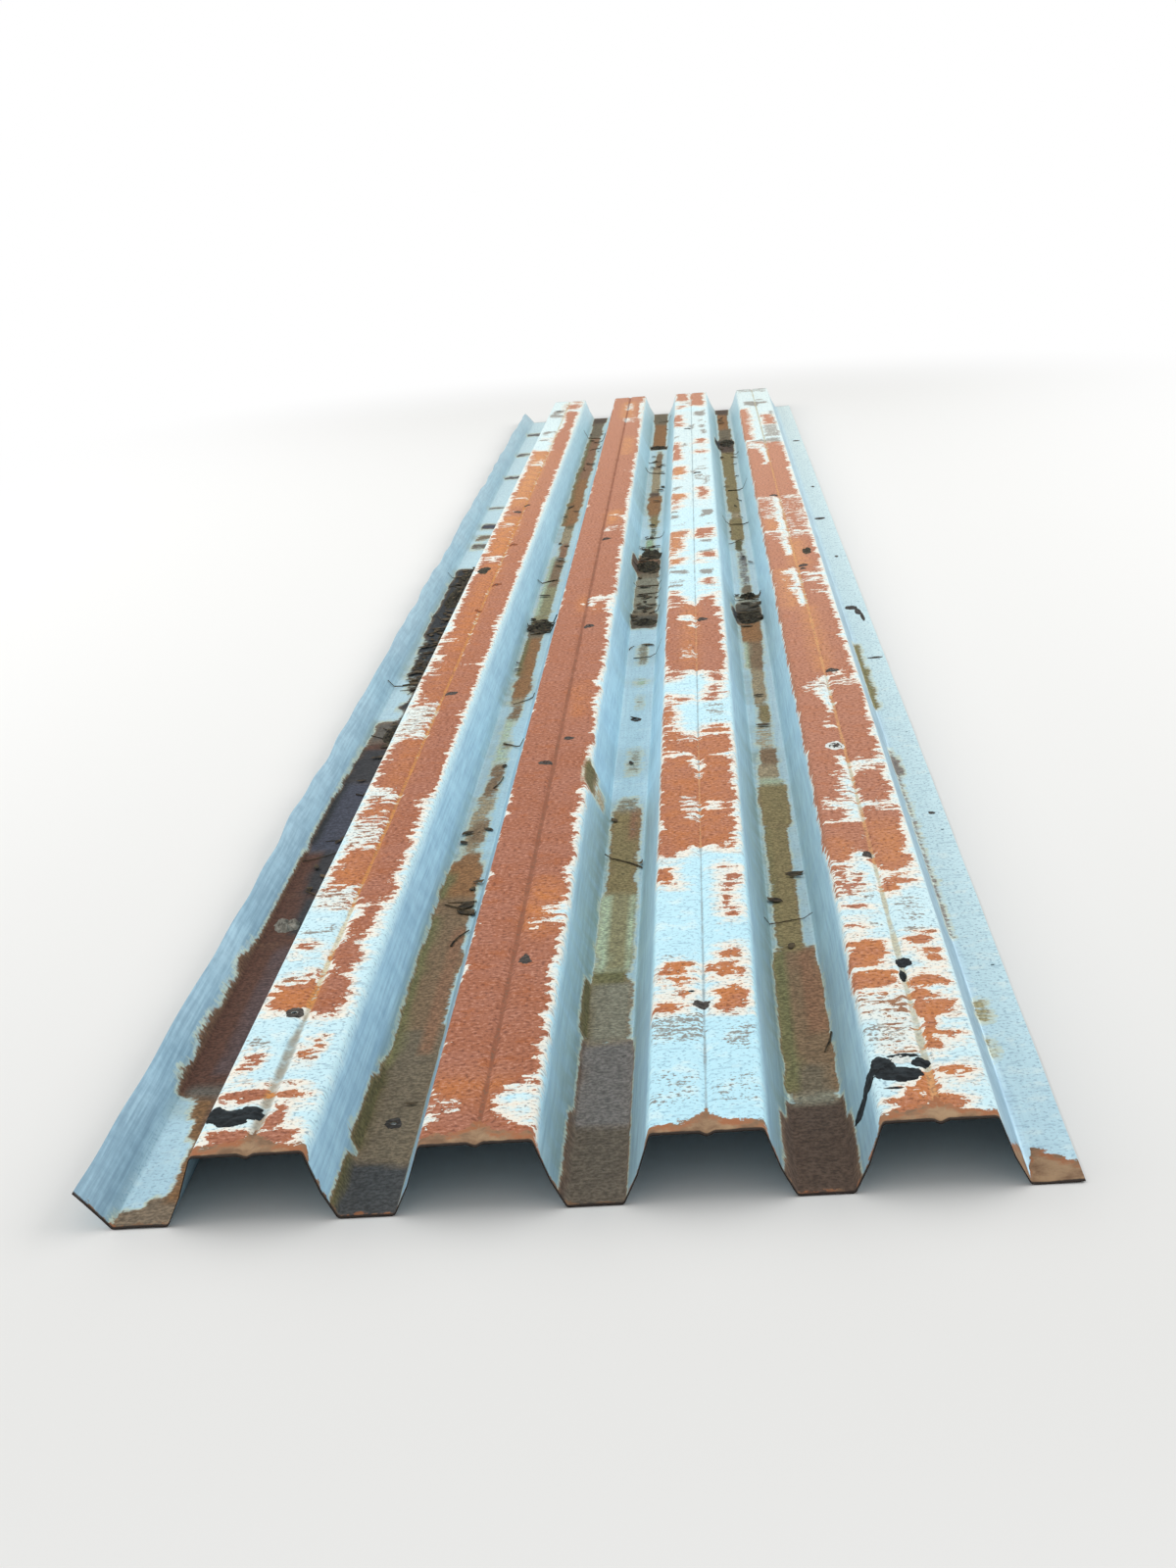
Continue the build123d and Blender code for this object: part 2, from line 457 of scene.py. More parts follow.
# Where the zinc has rusted through on the crowns, rib by rib: what it is, then from and to across the crown,
# in mm from its groove, and from and to along it, in mm from the near end. "rust" and "bare" zinc lie over
# what comes before them. "fleck" breaks up rust and "grime" is thin grey dirt, with how much at the end.
crownRust = [
    [
        ("rust", 2, 20, 40, 110), ("rust", 2, 36, 12, 62), ("rust", -44, 0, 8, 50),
        ("rust", -43, 0, 119, 150), ("rust", 2, 24, 116, 146), ("rust", 18, 38, 126, 137),
        ("fleck", -46, -26, 150, 250, 0.55), ("rust", -47, -33, 188, 246),
        ("grime", -46, -26, 258, 278, 1.2), ("rust", 8, 30, 238, 262), ("fleck", 4, 36, 196, 276, 1.0),
        ("fleck", 4, 30, 300, 330, 0.7), ("rust", -46, 1, 352, 442), ("rust", -20, 1, 440, 472),
        ("fleck", -46, -2, 425, 482, 0.9), ("rust", 0, 37, 344, 464), ("rust", 5, 32, 438, 586),
        ("fleck", 4, 38, 468, 505, 0.35), ("rust", -46, -27, 534, 566), ("fleck", -46, -6, 528, 568, 0.9),
        ("grime", -46, -8, 598, 624, 0.7), ("rust", 7, 36, 572, 655), ("rust", 13, 33, 640, 710),
        ("rust", -4, 46, 696, 800), ("fleck", -46, -6, 690, 775, 1.7), ("rust", -42, 3, 762, 950),
        ("fleck", -36, -20, 835, 868, 1.0), ("rust", -6, 41, 790, 1165), ("rust", -6, 46, 1150, 2010),
        ("rust", -42, 3, 1040, 1158), ("fleck", -46, -3, 925, 1115, 1.35), ("rust", -42, 3, 1204, 1512),
        ("fleck", -44, -2, 1130, 1215, 1.35), ("fleck", -36, -18, 1318, 1385, 0.8),
        ("fleck", -40, 0, 1436, 1474, 1.0), ("fleck", -46, -3, 1500, 1705, 1.45),
        ("grime", -40, -8, 1530, 1680, 0.5), ("rust", -42, 3, 1700, 4830),
        ("fleck", -34, -18, 1690, 1800, 1.0), ("fleck", -38, -8, 1905, 1990, 1.1),
        ("bare", 32, 54, 1120, 1148), ("bare", 33, 54, 1548, 1564), ("bare", 32, 54, 1622, 1642),
        ("rust", 0, 46, 1990, 5240), ("bare", -54, -24, 2024, 2050), ("bare", -54, -20, 2190, 2216),
        ("bare", -42, -4, 3018, 3062), ("fleck", -40, -20, 3090, 3130, 1.0), ("bare", -54, -24, 3284, 3314),
        ("fleck", -36, -6, 3330, 3530, 0.8), ("bare", -34, -14, 3480, 3512), ("bare", -54, -22, 3634, 3668),
        ("bare", -36, -4, 3884, 3914), ("bare", -28, 4, 4494, 4566), ("fleck", -38, 8, 4480, 4700, 0.7),
        ("bare", -44, 2, 4876, 5012), ("bare", -18, 4, 4824, 4900), ("grime", -42, -14, 5020, 5062, 1.0),
        ("fleck", -42, 2, 5040, 5140, 0.8), ("grime", -42, 2, 5180, 5245, 1.0),
        ("rust", 12, 42, 5230, 5640), ("rust", 3, 46, 5625, 5740), ("grime", -46, 8, 5636, 5708, 1.0),
        ("grime", -42, -8, 5744, 5844, 1.0), ("rust", 4, 40, 5852, 6020),
        ("fleck", -20, 42, 5740, 6060, 0.8),
    ],
    [
        ("rust", -54, 46, 0, 6100), ("bare", 8, 54, 64, 113), ("bare", 15, 54, 50, 70),
        ("bare", 28, 54, 36, 56), ("bare", 33, 54, 108, 150), ("bare", -60, -31, 42, 66),
        ("fleck", -48, -14, 66, 116, 1.15), ("fleck", 12, 36, 108, 150, 0.9), ("bare", 4, 12, 584, 601),
        ("bare", 16, 24, 581, 604), ("bare", 28, 54, 588, 614), ("bare", 23, 54, 644, 668),
        ("bare", 41, 54, 605, 692), ("fleck", 4, 46, 574, 672, 0.6), ("bare", 45, 54, 240, 262),
        ("bare", 42, 54, 1622, 1716), ("bare", 40, 54, 1744, 1832), ("bare", 5, 54, 2488, 2534),
        ("bare", 5, 18, 2420, 2495), ("bare", 38, 54, 2384, 2500), ("bare", -12, -7, 2452, 2492),
        ("bare", 5, 14, 3308, 3352), ("fleck", 18, 40, 3316, 3372, 1.1), ("bare", 14, 54, 3518, 3552),
        ("bare", 39, 54, 3440, 3530), ("fleck", 2, 34, 3400, 3520, 0.8), ("fleck", 18, 38, 4275, 4318, 1.1),
        ("bare", -6, 14, 5390, 5500), ("fleck", -12, 32, 5340, 5600, 0.9), ("bare", 39, 54, 5400, 5920),
        ("bare", -3, 20, 5730, 5850), ("fleck", -16, 24, 5690, 5950, 0.9),
        ("grime", -26, 28, 5600, 5700, 0.6), ("rust", 44, 60, 1165, 1312), ("rust", 56, 74, 1190, 1300),
    ],
    [
        ("grime", -48, -6, 52, 150, 0.35), ("grime", 10, 46, 60, 125, 0.4),
        ("grime", -48, -4, 205, 292, 0.7), ("grime", 18, 44, 196, 250, 0.6), ("rust", -54, -24, 297, 331),
        ("rust", -30, -12, 316, 341), ("rust", 9, 45, 300, 357), ("rust", 9, 30, 286, 306),
        ("rust", -43, -12, 360, 442), ("fleck", -48, -8, 350, 452, 0.4), ("rust", 4, 45, 384, 418),
        ("rust", 4, 38, 408, 432), ("fleck", 2, 40, 378, 440, 0.3), ("rust", 22, 43, 449, 478),
        ("rust", 30, 38, 470, 492), ("grime", -48, -20, 446, 468, 0.5), ("rust", 26, 42, 572, 614),
        ("rust", 21, 44, 624, 662), ("rust", 25, 43, 677, 706), ("rust", 30, 43, 714, 745),
        ("rust", 25, 36, 754, 770), ("rust", -54, -29, 692, 778), ("rust", -42, -25, 688, 716),
        ("rust", -54, -14, 830, 860), ("rust", 4, 45, 836, 860), ("rust", -54, 45, 852, 1402),
        ("fleck", -26, 2, 955, 1110, 1.2), ("bare", -28, 4, 1024, 1048), ("bare", -14, 0, 950, 1026),
        ("bare", 4, 40, 1026, 1044), ("bare", 14, 38, 960, 980), ("bare", -15, 14, 1218, 1266),
        ("bare", -7, 7, 1192, 1230), ("bare", -54, -32, 1266, 1284), ("bare", -52, 1, 1294, 1310),
        ("bare", 24, 54, 1290, 1308), ("fleck", -32, 26, 1362, 1392, 1.3), ("bare", -13, 6, 1380, 1412),
        ("rust", -54, -12, 1396, 1428), ("rust", -54, -18, 1420, 1450), ("rust", -54, -27, 1440, 1484),
        ("rust", 5, 42, 1396, 1444), ("rust", 12, 42, 1430, 1470), ("rust", -54, -33, 1480, 1634),
        ("fleck", -50, -28, 1484, 1634, 0.7), ("rust", -44, -11, 1628, 1670),
        ("grime", 12, 40, 1500, 1515, 0.8), ("grime", 12, 38, 1534, 1562, 0.9),
        ("grime", 12, 38, 1580, 1602, 0.9), ("rust", 8, 40, 1636, 1668), ("rust", 16, 37, 1682, 1726),
        ("fleck", 10, 44, 1630, 1730, 0.45), ("rust", 18, 43, 1752, 1806),
        ("grime", 6, 20, 1780, 1800, 0.7), ("rust", -54, -26, 1786, 1830),
        ("fleck", -50, -24, 1750, 1800, 1.4), ("rust", -54, 44, 1822, 2384),
        ("fleck", -28, 2, 1940, 2050, 1.3), ("bare", -22, 1, 1952, 1982), ("bare", -28, 1, 2236, 2294),
        ("bare", -16, 1, 2196, 2244), ("bare", 31, 54, 2262, 2310), ("rust", -54, -13, 2380, 2424),
        ("rust", -54, -24, 2420, 2470), ("rust", -54, -30, 2465, 2514), ("rust", 4, 42, 2380, 2440),
        ("rust", 18, 44, 2436, 2482), ("grime", -50, -22, 2572, 2598, 1.5),
        ("grime", -50, -20, 2640, 2664, 1.3), ("grime", -50, -14, 2708, 2738, 1.5),
        ("rust", 30, 43, 2494, 2512), ("grime", 18, 40, 2566, 2600, 1.0), ("rust", 20, 38, 2570, 2656),
        ("fleck", 16, 40, 2560, 2670, 0.5), ("grime", 14, 38, 2704, 2748, 1.4),
        ("grime", -50, -38, 2780, 2820, 0.7), ("rust", -54, -20, 2822, 2900),
        ("rust", -54, -34, 2930, 3000), ("rust", -54, -27, 2985, 3060), ("rust", -54, -24, 3050, 3170),
        ("rust", -54, -13, 3160, 3240), ("fleck", -50, -16, 2900, 3240, 0.3),
        ("grime", -50, -12, 3226, 3246, 0.9), ("rust", 8, 42, 2866, 2956),
        ("grime", 8, 38, 2946, 2980, 1.5), ("grime", 16, 38, 3084, 3116, 1.3), ("rust", 5, 42, 3146, 3276),
        ("fleck", 20, 42, 3110, 3170, 0.9), ("grime", -50, -14, 3314, 3326, 0.6),
        ("grime", -50, -34, 3364, 3378, 0.8), ("grime", -48, -32, 3424, 3456, 1.6),
        ("grime", -50, -30, 3496, 3526, 1.3), ("rust", -54, -32, 3560, 3594),
        ("fleck", -50, -28, 3550, 3600, 0.8), ("grime", 16, 38, 3420, 3530, 1.5),
        ("grime", 28, 38, 3318, 3342, 0.8), ("rust", -54, -32, 3640, 3704), ("rust", -54, -21, 3716, 3808),
        ("rust", 12, 40, 3718, 3884), ("grime", -50, -28, 3880, 3902, 1.0), ("rust", -50, -30, 4032, 4086),
        ("grime", 8, 40, 4056, 4094, 1.0), ("grime", 28, 40, 3930, 4050, 0.8),
        ("rust", -54, -18, 4154, 4290), ("grime", -6, 6, 4160, 4190, 1.0),
        ("grime", 8, 40, 4196, 4226, 0.8), ("grime", 18, 38, 4256, 4276, 1.0),
        ("rust", -54, -34, 4430, 4784), ("grime", -54, -18, 4540, 4566, 0.9),
        ("grime", 14, 40, 4372, 4392, 0.8), ("rust", 14, 38, 4542, 4600),
        ("fleck", 14, 40, 4640, 4730, 0.9), ("rust", 6, 41, 4736, 4776),
        ("grime", -48, -14, 4724, 4760, 0.9), ("rust", 18, 38, 4790, 4864),
        ("grime", -48, -30, 4896, 4926, 1.0), ("grime", 24, 40, 4930, 5064, 1.0),
        ("grime", -8, 6, 5126, 5214, 1.0), ("rust", -54, -22, 5188, 5262),
        ("grime", 24, 40, 5126, 5204, 1.0), ("rust", -54, -32, 5290, 5484),
        ("grime", 10, 40, 5420, 5544, 1.0), ("grime", 22, 36, 5250, 5340, 0.8),
        ("fleck", -54, 42, 3560, 5560, 0.35), ("rust", -48, -20, 5660, 5722), ("rust", 0, 41, 5696, 6100),
        ("rust", -48, -12, 5836, 6100), ("fleck", -42, 2, 5770, 5840, 1.0),
    ],
    [
        ("rust", -6, 12, 8, 128), ("rust", 4, 26, 8, 60), ("rust", 3, 43, 92, 126), ("rust", -28, 0, 8, 72),
        ("rust", -42, -16, 6, 42), ("rust", 3, 15, 145, 342), ("rust", 3, 43, 183, 206),
        ("fleck", -34, -4, 150, 240, 1.5), ("grime", -48, -10, 180, 232, 0.6), ("rust", 3, 46, 256, 292),
        ("fleck", -52, -4, 240, 316, 1.7), ("rust", -54, -7, 328, 378), ("rust", 0, 46, 334, 374),
        ("fleck", 8, 42, 284, 326, 0.6), ("rust", -54, -11, 389, 479), ("bare", -60, -16, 378, 390),
        ("rust", 18, 47, 398, 450), ("rust", 2, 45, 442, 490), ("rust", 3, 16, 426, 480),
        ("bare", 16, 38, 432, 450), ("rust", -47, -30, 514, 536), ("grime", -28, -12, 518, 536, 0.7),
        ("grime", 9, 43, 504, 520, 1.0), ("grime", 12, 42, 538, 604, 0.5), ("rust", -52, -20, 584, 601),
        ("grime", -30, -10, 616, 640, 0.6), ("fleck", -52, -18, 600, 660, 0.6),
        ("rust", -54, -22, 652, 700), ("rust", -54, -26, 720, 752), ("fleck", -52, -18, 640, 760, 0.9),
        ("rust", 3, 21, 606, 684), ("fleck", 3, 26, 636, 720, 0.3), ("rust", 3, 43, 674, 704),
        ("rust", 2, 43, 716, 820), ("rust", -58, -24, 744, 830), ("rust", -58, 44, 800, 3666),
        ("fleck", -22, 2, 836, 880, 1.0), ("fleck", -50, -18, 922, 946, 0.9), ("bare", -22, 2, 902, 1030),
        ("bare", -18, 1, 1000, 1180), ("bare", -14, -1, 1160, 1250), ("bare", -54, -16, 926, 942),
        ("bare", -32, -14, 1148, 1170), ("bare", 10, 54, 966, 984), ("bare", -48, 44, 992, 1012),
        ("fleck", -50, 46, 960, 1030, 0.5), ("bare", -9, 0, 1150, 1206),
        ("fleck", -30, -6, 1020, 1180, 0.8), ("fleck", 6, 38, 1020, 1100, 0.6), ("bare", 0, 54, 1166, 1198),
        ("fleck", 10, 46, 1160, 1232, 0.9), ("bare", -20, -3, 1384, 1420), ("bare", -20, -6, 1434, 1474),
        ("bare", -10, 1, 1500, 1775), ("bare", -21, 0, 1590, 1745), ("fleck", -40, 2, 1640, 1710, 1.1),
        ("bare", 1, 54, 1682, 1708), ("fleck", 4, 46, 1660, 1712, 0.5), ("bare", 3, 28, 1740, 1776),
        ("fleck", -14, 0, 1880, 2030, 1.0), ("bare", -18, -3, 2325, 2712), ("bare", -33, -4, 2412, 2440),
        ("bare", -32, -4, 2474, 2500), ("bare", -36, -4, 2550, 2584), ("bare", -40, -4, 2630, 2674),
        ("fleck", -32, 4, 2390, 2700, 0.5), ("bare", 6, 54, 2422, 2454), ("bare", 1, 54, 2554, 2584),
        ("bare", 1, 54, 2620, 2658), ("fleck", 4, 46, 2410, 2680, 0.5), ("bare", -17, -4, 2835, 3670),
        ("bare", -20, -1, 3030, 3670), ("bare", -54, 0, 3122, 3158), ("fleck", -50, -8, 2990, 3160, 0.7),
        ("bare", -2, 54, 3122, 3160), ("fleck", 4, 46, 3040, 3200, 0.9), ("bare", -54, -8, 3346, 3374),
        ("bare", -54, -8, 3452, 3488), ("fleck", -50, -10, 3340, 3666, 0.9), ("bare", -54, -8, 3628, 3668),
        ("fleck", 4, 46, 3200, 3670, 1.25), ("bare", 4, 46, 3600, 3664), ("rust", -58, 44, 3666, 4690),
        ("bare", -15, -4, 4215, 4640), ("bare", -25, -2, 4440, 4640), ("bare", -54, -2, 4570, 4650),
        ("fleck", -46, 46, 4540, 4700, 0.7), ("grime", -42, 44, 4654, 4724, 0.9),
        ("rust", -58, -30, 4740, 5510), ("fleck", -44, -20, 4740, 5510, 0.6),
        ("grime", 6, 44, 4780, 5050, 0.7), ("rust", 10, 42, 5060, 5330), ("fleck", 6, 46, 4780, 5420, 0.7),
        ("grime", 34, 46, 5050, 5420, 0.8), ("grime", -36, 38, 5630, 5722, 1.0),
        ("grime", -50, 46, 6010, 6100, 0.5),
    ],
]
# Younger, bright orange rust: rib, then across and along as above, and how bright
freshRust = [
    (0, -46, 2, 350, 450, 0.7), (0, 2, 40, 110, 280, 0.5), (0, -40, 2, 760, 950, 0.6),
    (0, -42, 0, 1050, 1150, 0.5), (0, -34, 6, 1200, 2100, 0.35), (0, -34, 8, 2100, 2980, 0.6),
    (0, -30, 8, 2840, 3000, 0.8), (0, -40, 6, 3060, 3640, 0.85), (0, -40, 6, 3700, 4830, 0.7),
    (1, -54, 20, 100, 160, 0.5), (1, 2, 44, 560, 740, 0.7), (1, 4, 36, 1560, 1800, 0.4),
    (1, -16, -4, 2380, 2560, 0.8), (1, 4, 34, 2400, 2450, 0.5), (1, 2, 34, 3390, 3600, 0.7),
    (1, 4, 36, 4600, 5000, 0.5), (1, -20, 24, 5500, 5950, 0.6), (2, -50, 45, 286, 490, 0.7),
    (2, -50, -26, 690, 780, 0.6), (2, -50, 45, 836, 1470, 0.4), (0, 2, 46, 1700, 4800, 0.12),
    (2, -50, -28, 1480, 1680, 0.6), (2, -24, 4, 1850, 2400, 0.5), (2, -50, -26, 2800, 3250, 0.6),
    (2, -50, -18, 3700, 4300, 0.6), (3, -50, 46, 18, 500, 0.6), (3, 2, 44, 600, 900, 0.5),
    (3, -50, -20, 740, 860, 0.4), (3, -14, 12, 1780, 2340, 0.5), (3, -44, -14, 2300, 2700, 0.5),
    (3, -14, 24, 2700, 3040, 0.5), (3, -46, -14, 3160, 3340, 0.5), (1, 56, 76, 1215, 1262, 0.9),
]

# What has silted up in the valleys. Colours as they look dry, between the ribs
siltTones = {
    "mud": "#847460",
    "stain": "#876441",
    "iron": "#5f4033",
    "mauve": "#5f4c4a",
    "slate": "#494b57",
    "dark": "#3b3a3c",
    "ash": "#6b655c",
    "black": "#34373a",
    "asphalt": "#4f5050",
    "wedge": "#655f3e",
    "margin": "#837e56",
    "taupe": "#857660",
    "brown": "#95795c",
    "red": "#a07659",
    "ochre": "#a9794f",
    "drab": "#9c8a60",
    "olive": "#a69d77",
    "pale": "#c6d4b4",
    "tan": "#b6a282",
    "beige": "#9a9480",
    "stone": "#857f7a",
    "leaf": "#5f594e",
    "moss": "#a9c39f",
    "umber": "#625044",
    "mould": "#716658",
}
# valley by valley: tone, then from and to across it, from its middle, and along it, in mm, and how thick
valleySilt = [
    [
        ("mud", -24, 34, -20, 32, 1.0), ("mud", -4, 34, 26, 60, 1.0), ("stain", 11, 40, 50, 205, 1.0),
        ("stain", 3, 40, 190, 250, 1.0), ("stain", -8, 40, 240, 310, 1.0), ("mauve", 14, 40, 215, 300, 0.9),
        ("iron", -37, 34, 292, 760, 1.0), ("ash", -24, 18, 292, 318, 1.0), ("mauve", -2, 34, 350, 800, 1.0),
        ("iron", -33, 34, 755, 960, 1.0), ("dark", 2, 34, 790, 1000, 1.0),
        ("iron", -31, 34, 950, 1140, 1.0), ("dark", -6, 34, 960, 1180, 1.0),
        ("slate", -26, 34, 1135, 1500, 1.0), ("black", -28, -19, 1180, 1500, 1.0),
        ("dark", -26, 34, 1490, 1715, 1.0), ("iron", -24, 34, 1700, 1750, 0.9),
        ("ash", -22, 14, 1745, 1880, 1.0), ("black", 12, 34, 1740, 1900, 1.0),
        ("black", 8, 34, 1880, 2200, 0.85), ("black", -2, 34, 1950, 2010, 0.9),
        ("ash", -6, 16, 2080, 2200, 0.6), ("black", -16, 34, 2200, 2600, 0.72),
        ("black", -23, 34, 2560, 3290, 1.0), ("ash", -8, 20, 3080, 3115, 0.8),
        ("ash", -20, 24, 3560, 3640, 0.7), ("mud", -18, 24, 3690, 3770, 0.75),
        # From 4170 mm on, four thin slate bands cross this valley, about 500 mm apart.
        ("slate", -20, 24, 3850, 3930, 0.9), ("slate", -26, 26, 4170, 4215, 0.8),
        ("slate", -26, 26, 4735, 4785, 0.8), ("slate", -26, 26, 5230, 5290, 0.8),
        ("slate", -26, 26, 5720, 5785, 0.8),
    ],
    [
        ("wedge", -39, -24, -60, 112, 1.0), ("asphalt", -27, 31, -60, 112, 1.0),
        ("taupe", -26, 29, 110, 460, 1.0), ("wedge", -42, -24, 135, 300, 1.0),
        ("wedge", -33, -22, 290, 350, 1.0), ("brown", -26, 23, 450, 700, 1.0),
        ("brown", -26, 17, 700, 840, 1.0), ("margin", -28, -17, 350, 840, 0.9),
        ("red", 4, 19, 380, 790, 1.0), ("brown", -27, 18, 840, 905, 1.0),
        ("ochre", -24, 17, 905, 1060, 1.0), ("margin", -28, -16, 900, 1010, 1.0),
        ("ochre", -14, 13, 1060, 1105, 0.9), ("tan", -16, 9, 1105, 1380, 0.62),
        ("brown", -8, 10, 1130, 1250, 0.75), ("brown", -9, 9, 1380, 1570, 0.72),
        ("pale", -14, 9, 1570, 1700, 0.5), ("brown", -8, 9, 1650, 1690, 0.6),
        ("pale", -12, 6, 1700, 1850, 0.5), ("brown", -8, 9, 1840, 1925, 0.75),
        ("tan", -14, 10, 1930, 1995, 0.9), ("ochre", -14, 14, 1995, 2150, 1.0),
        ("ochre", -12, 10, 2150, 2490, 1.0), ("margin", -19, -11, 2150, 2480, 0.8),
        ("taupe", -18, 12, 2480, 2560, 0.9), ("leaf", -22, 22, 2530, 2620, 0.9),
        ("olive", -16, 12, 2610, 2710, 0.9), ("pale", -20, -8, 2700, 3400, 0.6),
        ("olive", -10, 12, 2710, 3020, 0.8), ("brown", -10, 12, 3010, 3350, 0.75),
        ("red", -8, 11, 3370, 3560, 0.85), ("tan", -12, 9, 3560, 3800, 0.9),
        ("wedge", -10, 12, 3785, 3830, 0.9), ("margin", -23, -13, 3830, 4650, 0.75),
        ("ochre", -15, 15, 3830, 4650, 0.95), ("red", -15, 14, 4650, 5570, 1.0),
        ("margin", -23, -14, 4650, 5570, 0.8), ("taupe", -22, 15, 5560, 5960, 1.0),
        ("umber", -24, 20, 5950, 6120, 1.0),
    ],
    [
        ("umber", -37, -24, -60, 190, 1.0), ("mould", -27, 30, -60, 175, 1.0),
        ("umber", -32, -24, 180, 395, 0.9), ("stone", -26, 28, 172, 385, 1.0),
        ("beige", -25, 22, 388, 565, 1.0), ("wedge", -40, -24, 400, 560, 0.85),
        ("margin", -24, 15, 562, 612, 1.0), ("pale", -25, 20, 610, 885, 0.8),
        ("olive", -12, 13, 610, 890, 1.0), ("drab", -20, 16, 885, 1070, 1.0),
        ("drab", -21, 18, 1060, 1262, 1.0), ("red", 3, 16, 1120, 1290, 0.75),
        ("beige", -15, 16, 1255, 1315, 0.6), ("wedge", -96, -68, 1195, 1315, 0.95),
        # On the knocked web of rib 1, the tan patch from 1200 to 1275 mm is partly a beige stain and partly a
        # painted highlight of the dent.
        ("tan", -66, -40, 1200, 1275, 0.6), ("beige", -9, 13, 1440, 1600, 0.42),
        ("beige", -4, 12, 1850, 1960, 0.36), ("moss", -9, 12, 2025, 2085, 0.5),
        ("beige", -8, 12, 2190, 2370, 0.6), ("leaf", -27, 26, 2515, 2650, 1.0),
        ("taupe", -24, 22, 2640, 2720, 0.9), ("beige", -24, 22, 2700, 3060, 0.85),
        ("taupe", -24, 22, 3050, 3130, 1.0), ("umber", -50, 24, 3120, 3265, 1.0),
        ("red", -24, 22, 3255, 3330, 0.9), ("moss", -10, 6, 3325, 3560, 0.75),
        ("slate", 6, 22, 3370, 3415, 0.9), ("wedge", -6, 12, 3560, 3720, 0.55),
        ("drab", -8, 14, 3720, 3900, 0.85), ("ochre", -15, 17, 3900, 4225, 1.0),
        ("umber", -15, 12, 4215, 4300, 1.0), ("tan", -12, 12, 4300, 4770, 0.75),
        ("brown", -7, 12, 4760, 5090, 0.9), ("black", -28, 28, 5160, 5240, 1.0),
        ("ochre", -18, 20, 5235, 5810, 1.0), ("taupe", -24, 22, 5800, 6120, 1.0),
    ],
    [
        ("umber", -46, 38, -60, 150, 1.0), ("umber", -30, 28, 140, 205, 1.0),
        ("beige", -20, 20, 200, 232, 0.8), ("brown", -26, 25, 230, 640, 1.0),
        ("taupe", -12, 14, 228, 300, 0.9), ("margin", -27, -12, 230, 640, 0.85),
        ("red", 2, 24, 380, 640, 0.9), ("margin", -19, -8, 640, 1135, 0.7),
        ("drab", -15, 12, 640, 1135, 0.95), ("drab", -21, 21, 1135, 1345, 1.0),
        ("pale", -16, 16, 1345, 1385, 0.7), ("tan", -16, 11, 1385, 1465, 0.8),
        ("brown", -12, 14, 1465, 1560, 0.95), ("tan", -14, 12, 1560, 1720, 0.5),
        ("drab", -8, 10, 1720, 1845, 0.85), ("tan", -11, 9, 1845, 2100, 0.8),
        ("pale", -18, -8, 2100, 2330, 0.6), ("brown", -10, 13, 2100, 2335, 0.95),
        ("ochre", -21, 17, 2330, 2525, 1.0), ("leaf", -26, 24, 2515, 2710, 1.0),
        ("black", -46, -24, 2520, 2625, 0.8), ("beige", -22, 18, 2700, 2790, 0.55),
        ("taupe", -7, 11, 2800, 2905, 0.85), ("stone", -9, 10, 2905, 3300, 0.55),
        ("dark", -7, 7, 3185, 3235, 0.7), ("wedge", -10, 7, 3300, 3450, 0.8),
        ("drab", -17, 10, 3450, 3785, 1.0), ("tan", -12, 9, 3785, 3860, 0.85),
        ("drab", -17, 11, 3860, 4750, 0.95), ("drab", -19, 14, 4740, 5010, 1.0),
        ("umber", -20, 18, 5000, 5180, 1.0), ("black", -50, -22, 5060, 5250, 0.8),
        ("black", -28, 22, 5170, 5285, 1.0), ("taupe", -20, 16, 5285, 5565, 1.0),
        ("ochre", -21, 13, 5560, 5960, 1.0), ("umber", -24, 20, 5950, 6120, 1.0),
    ],
]
# the same at the foot of the right flange, measured across from the foot
flangeSilt = [
    ("stone", -4, 7, 640, 1500, 0.5), ("stone", -4, 12, 1360, 1460, 0.75),
    ("margin", -8, 10, 1760, 2260, 0.75), ("olive", 0, 16, 390, 455, 0.6), ("olive", 0, 10, 280, 345, 0.5),
]

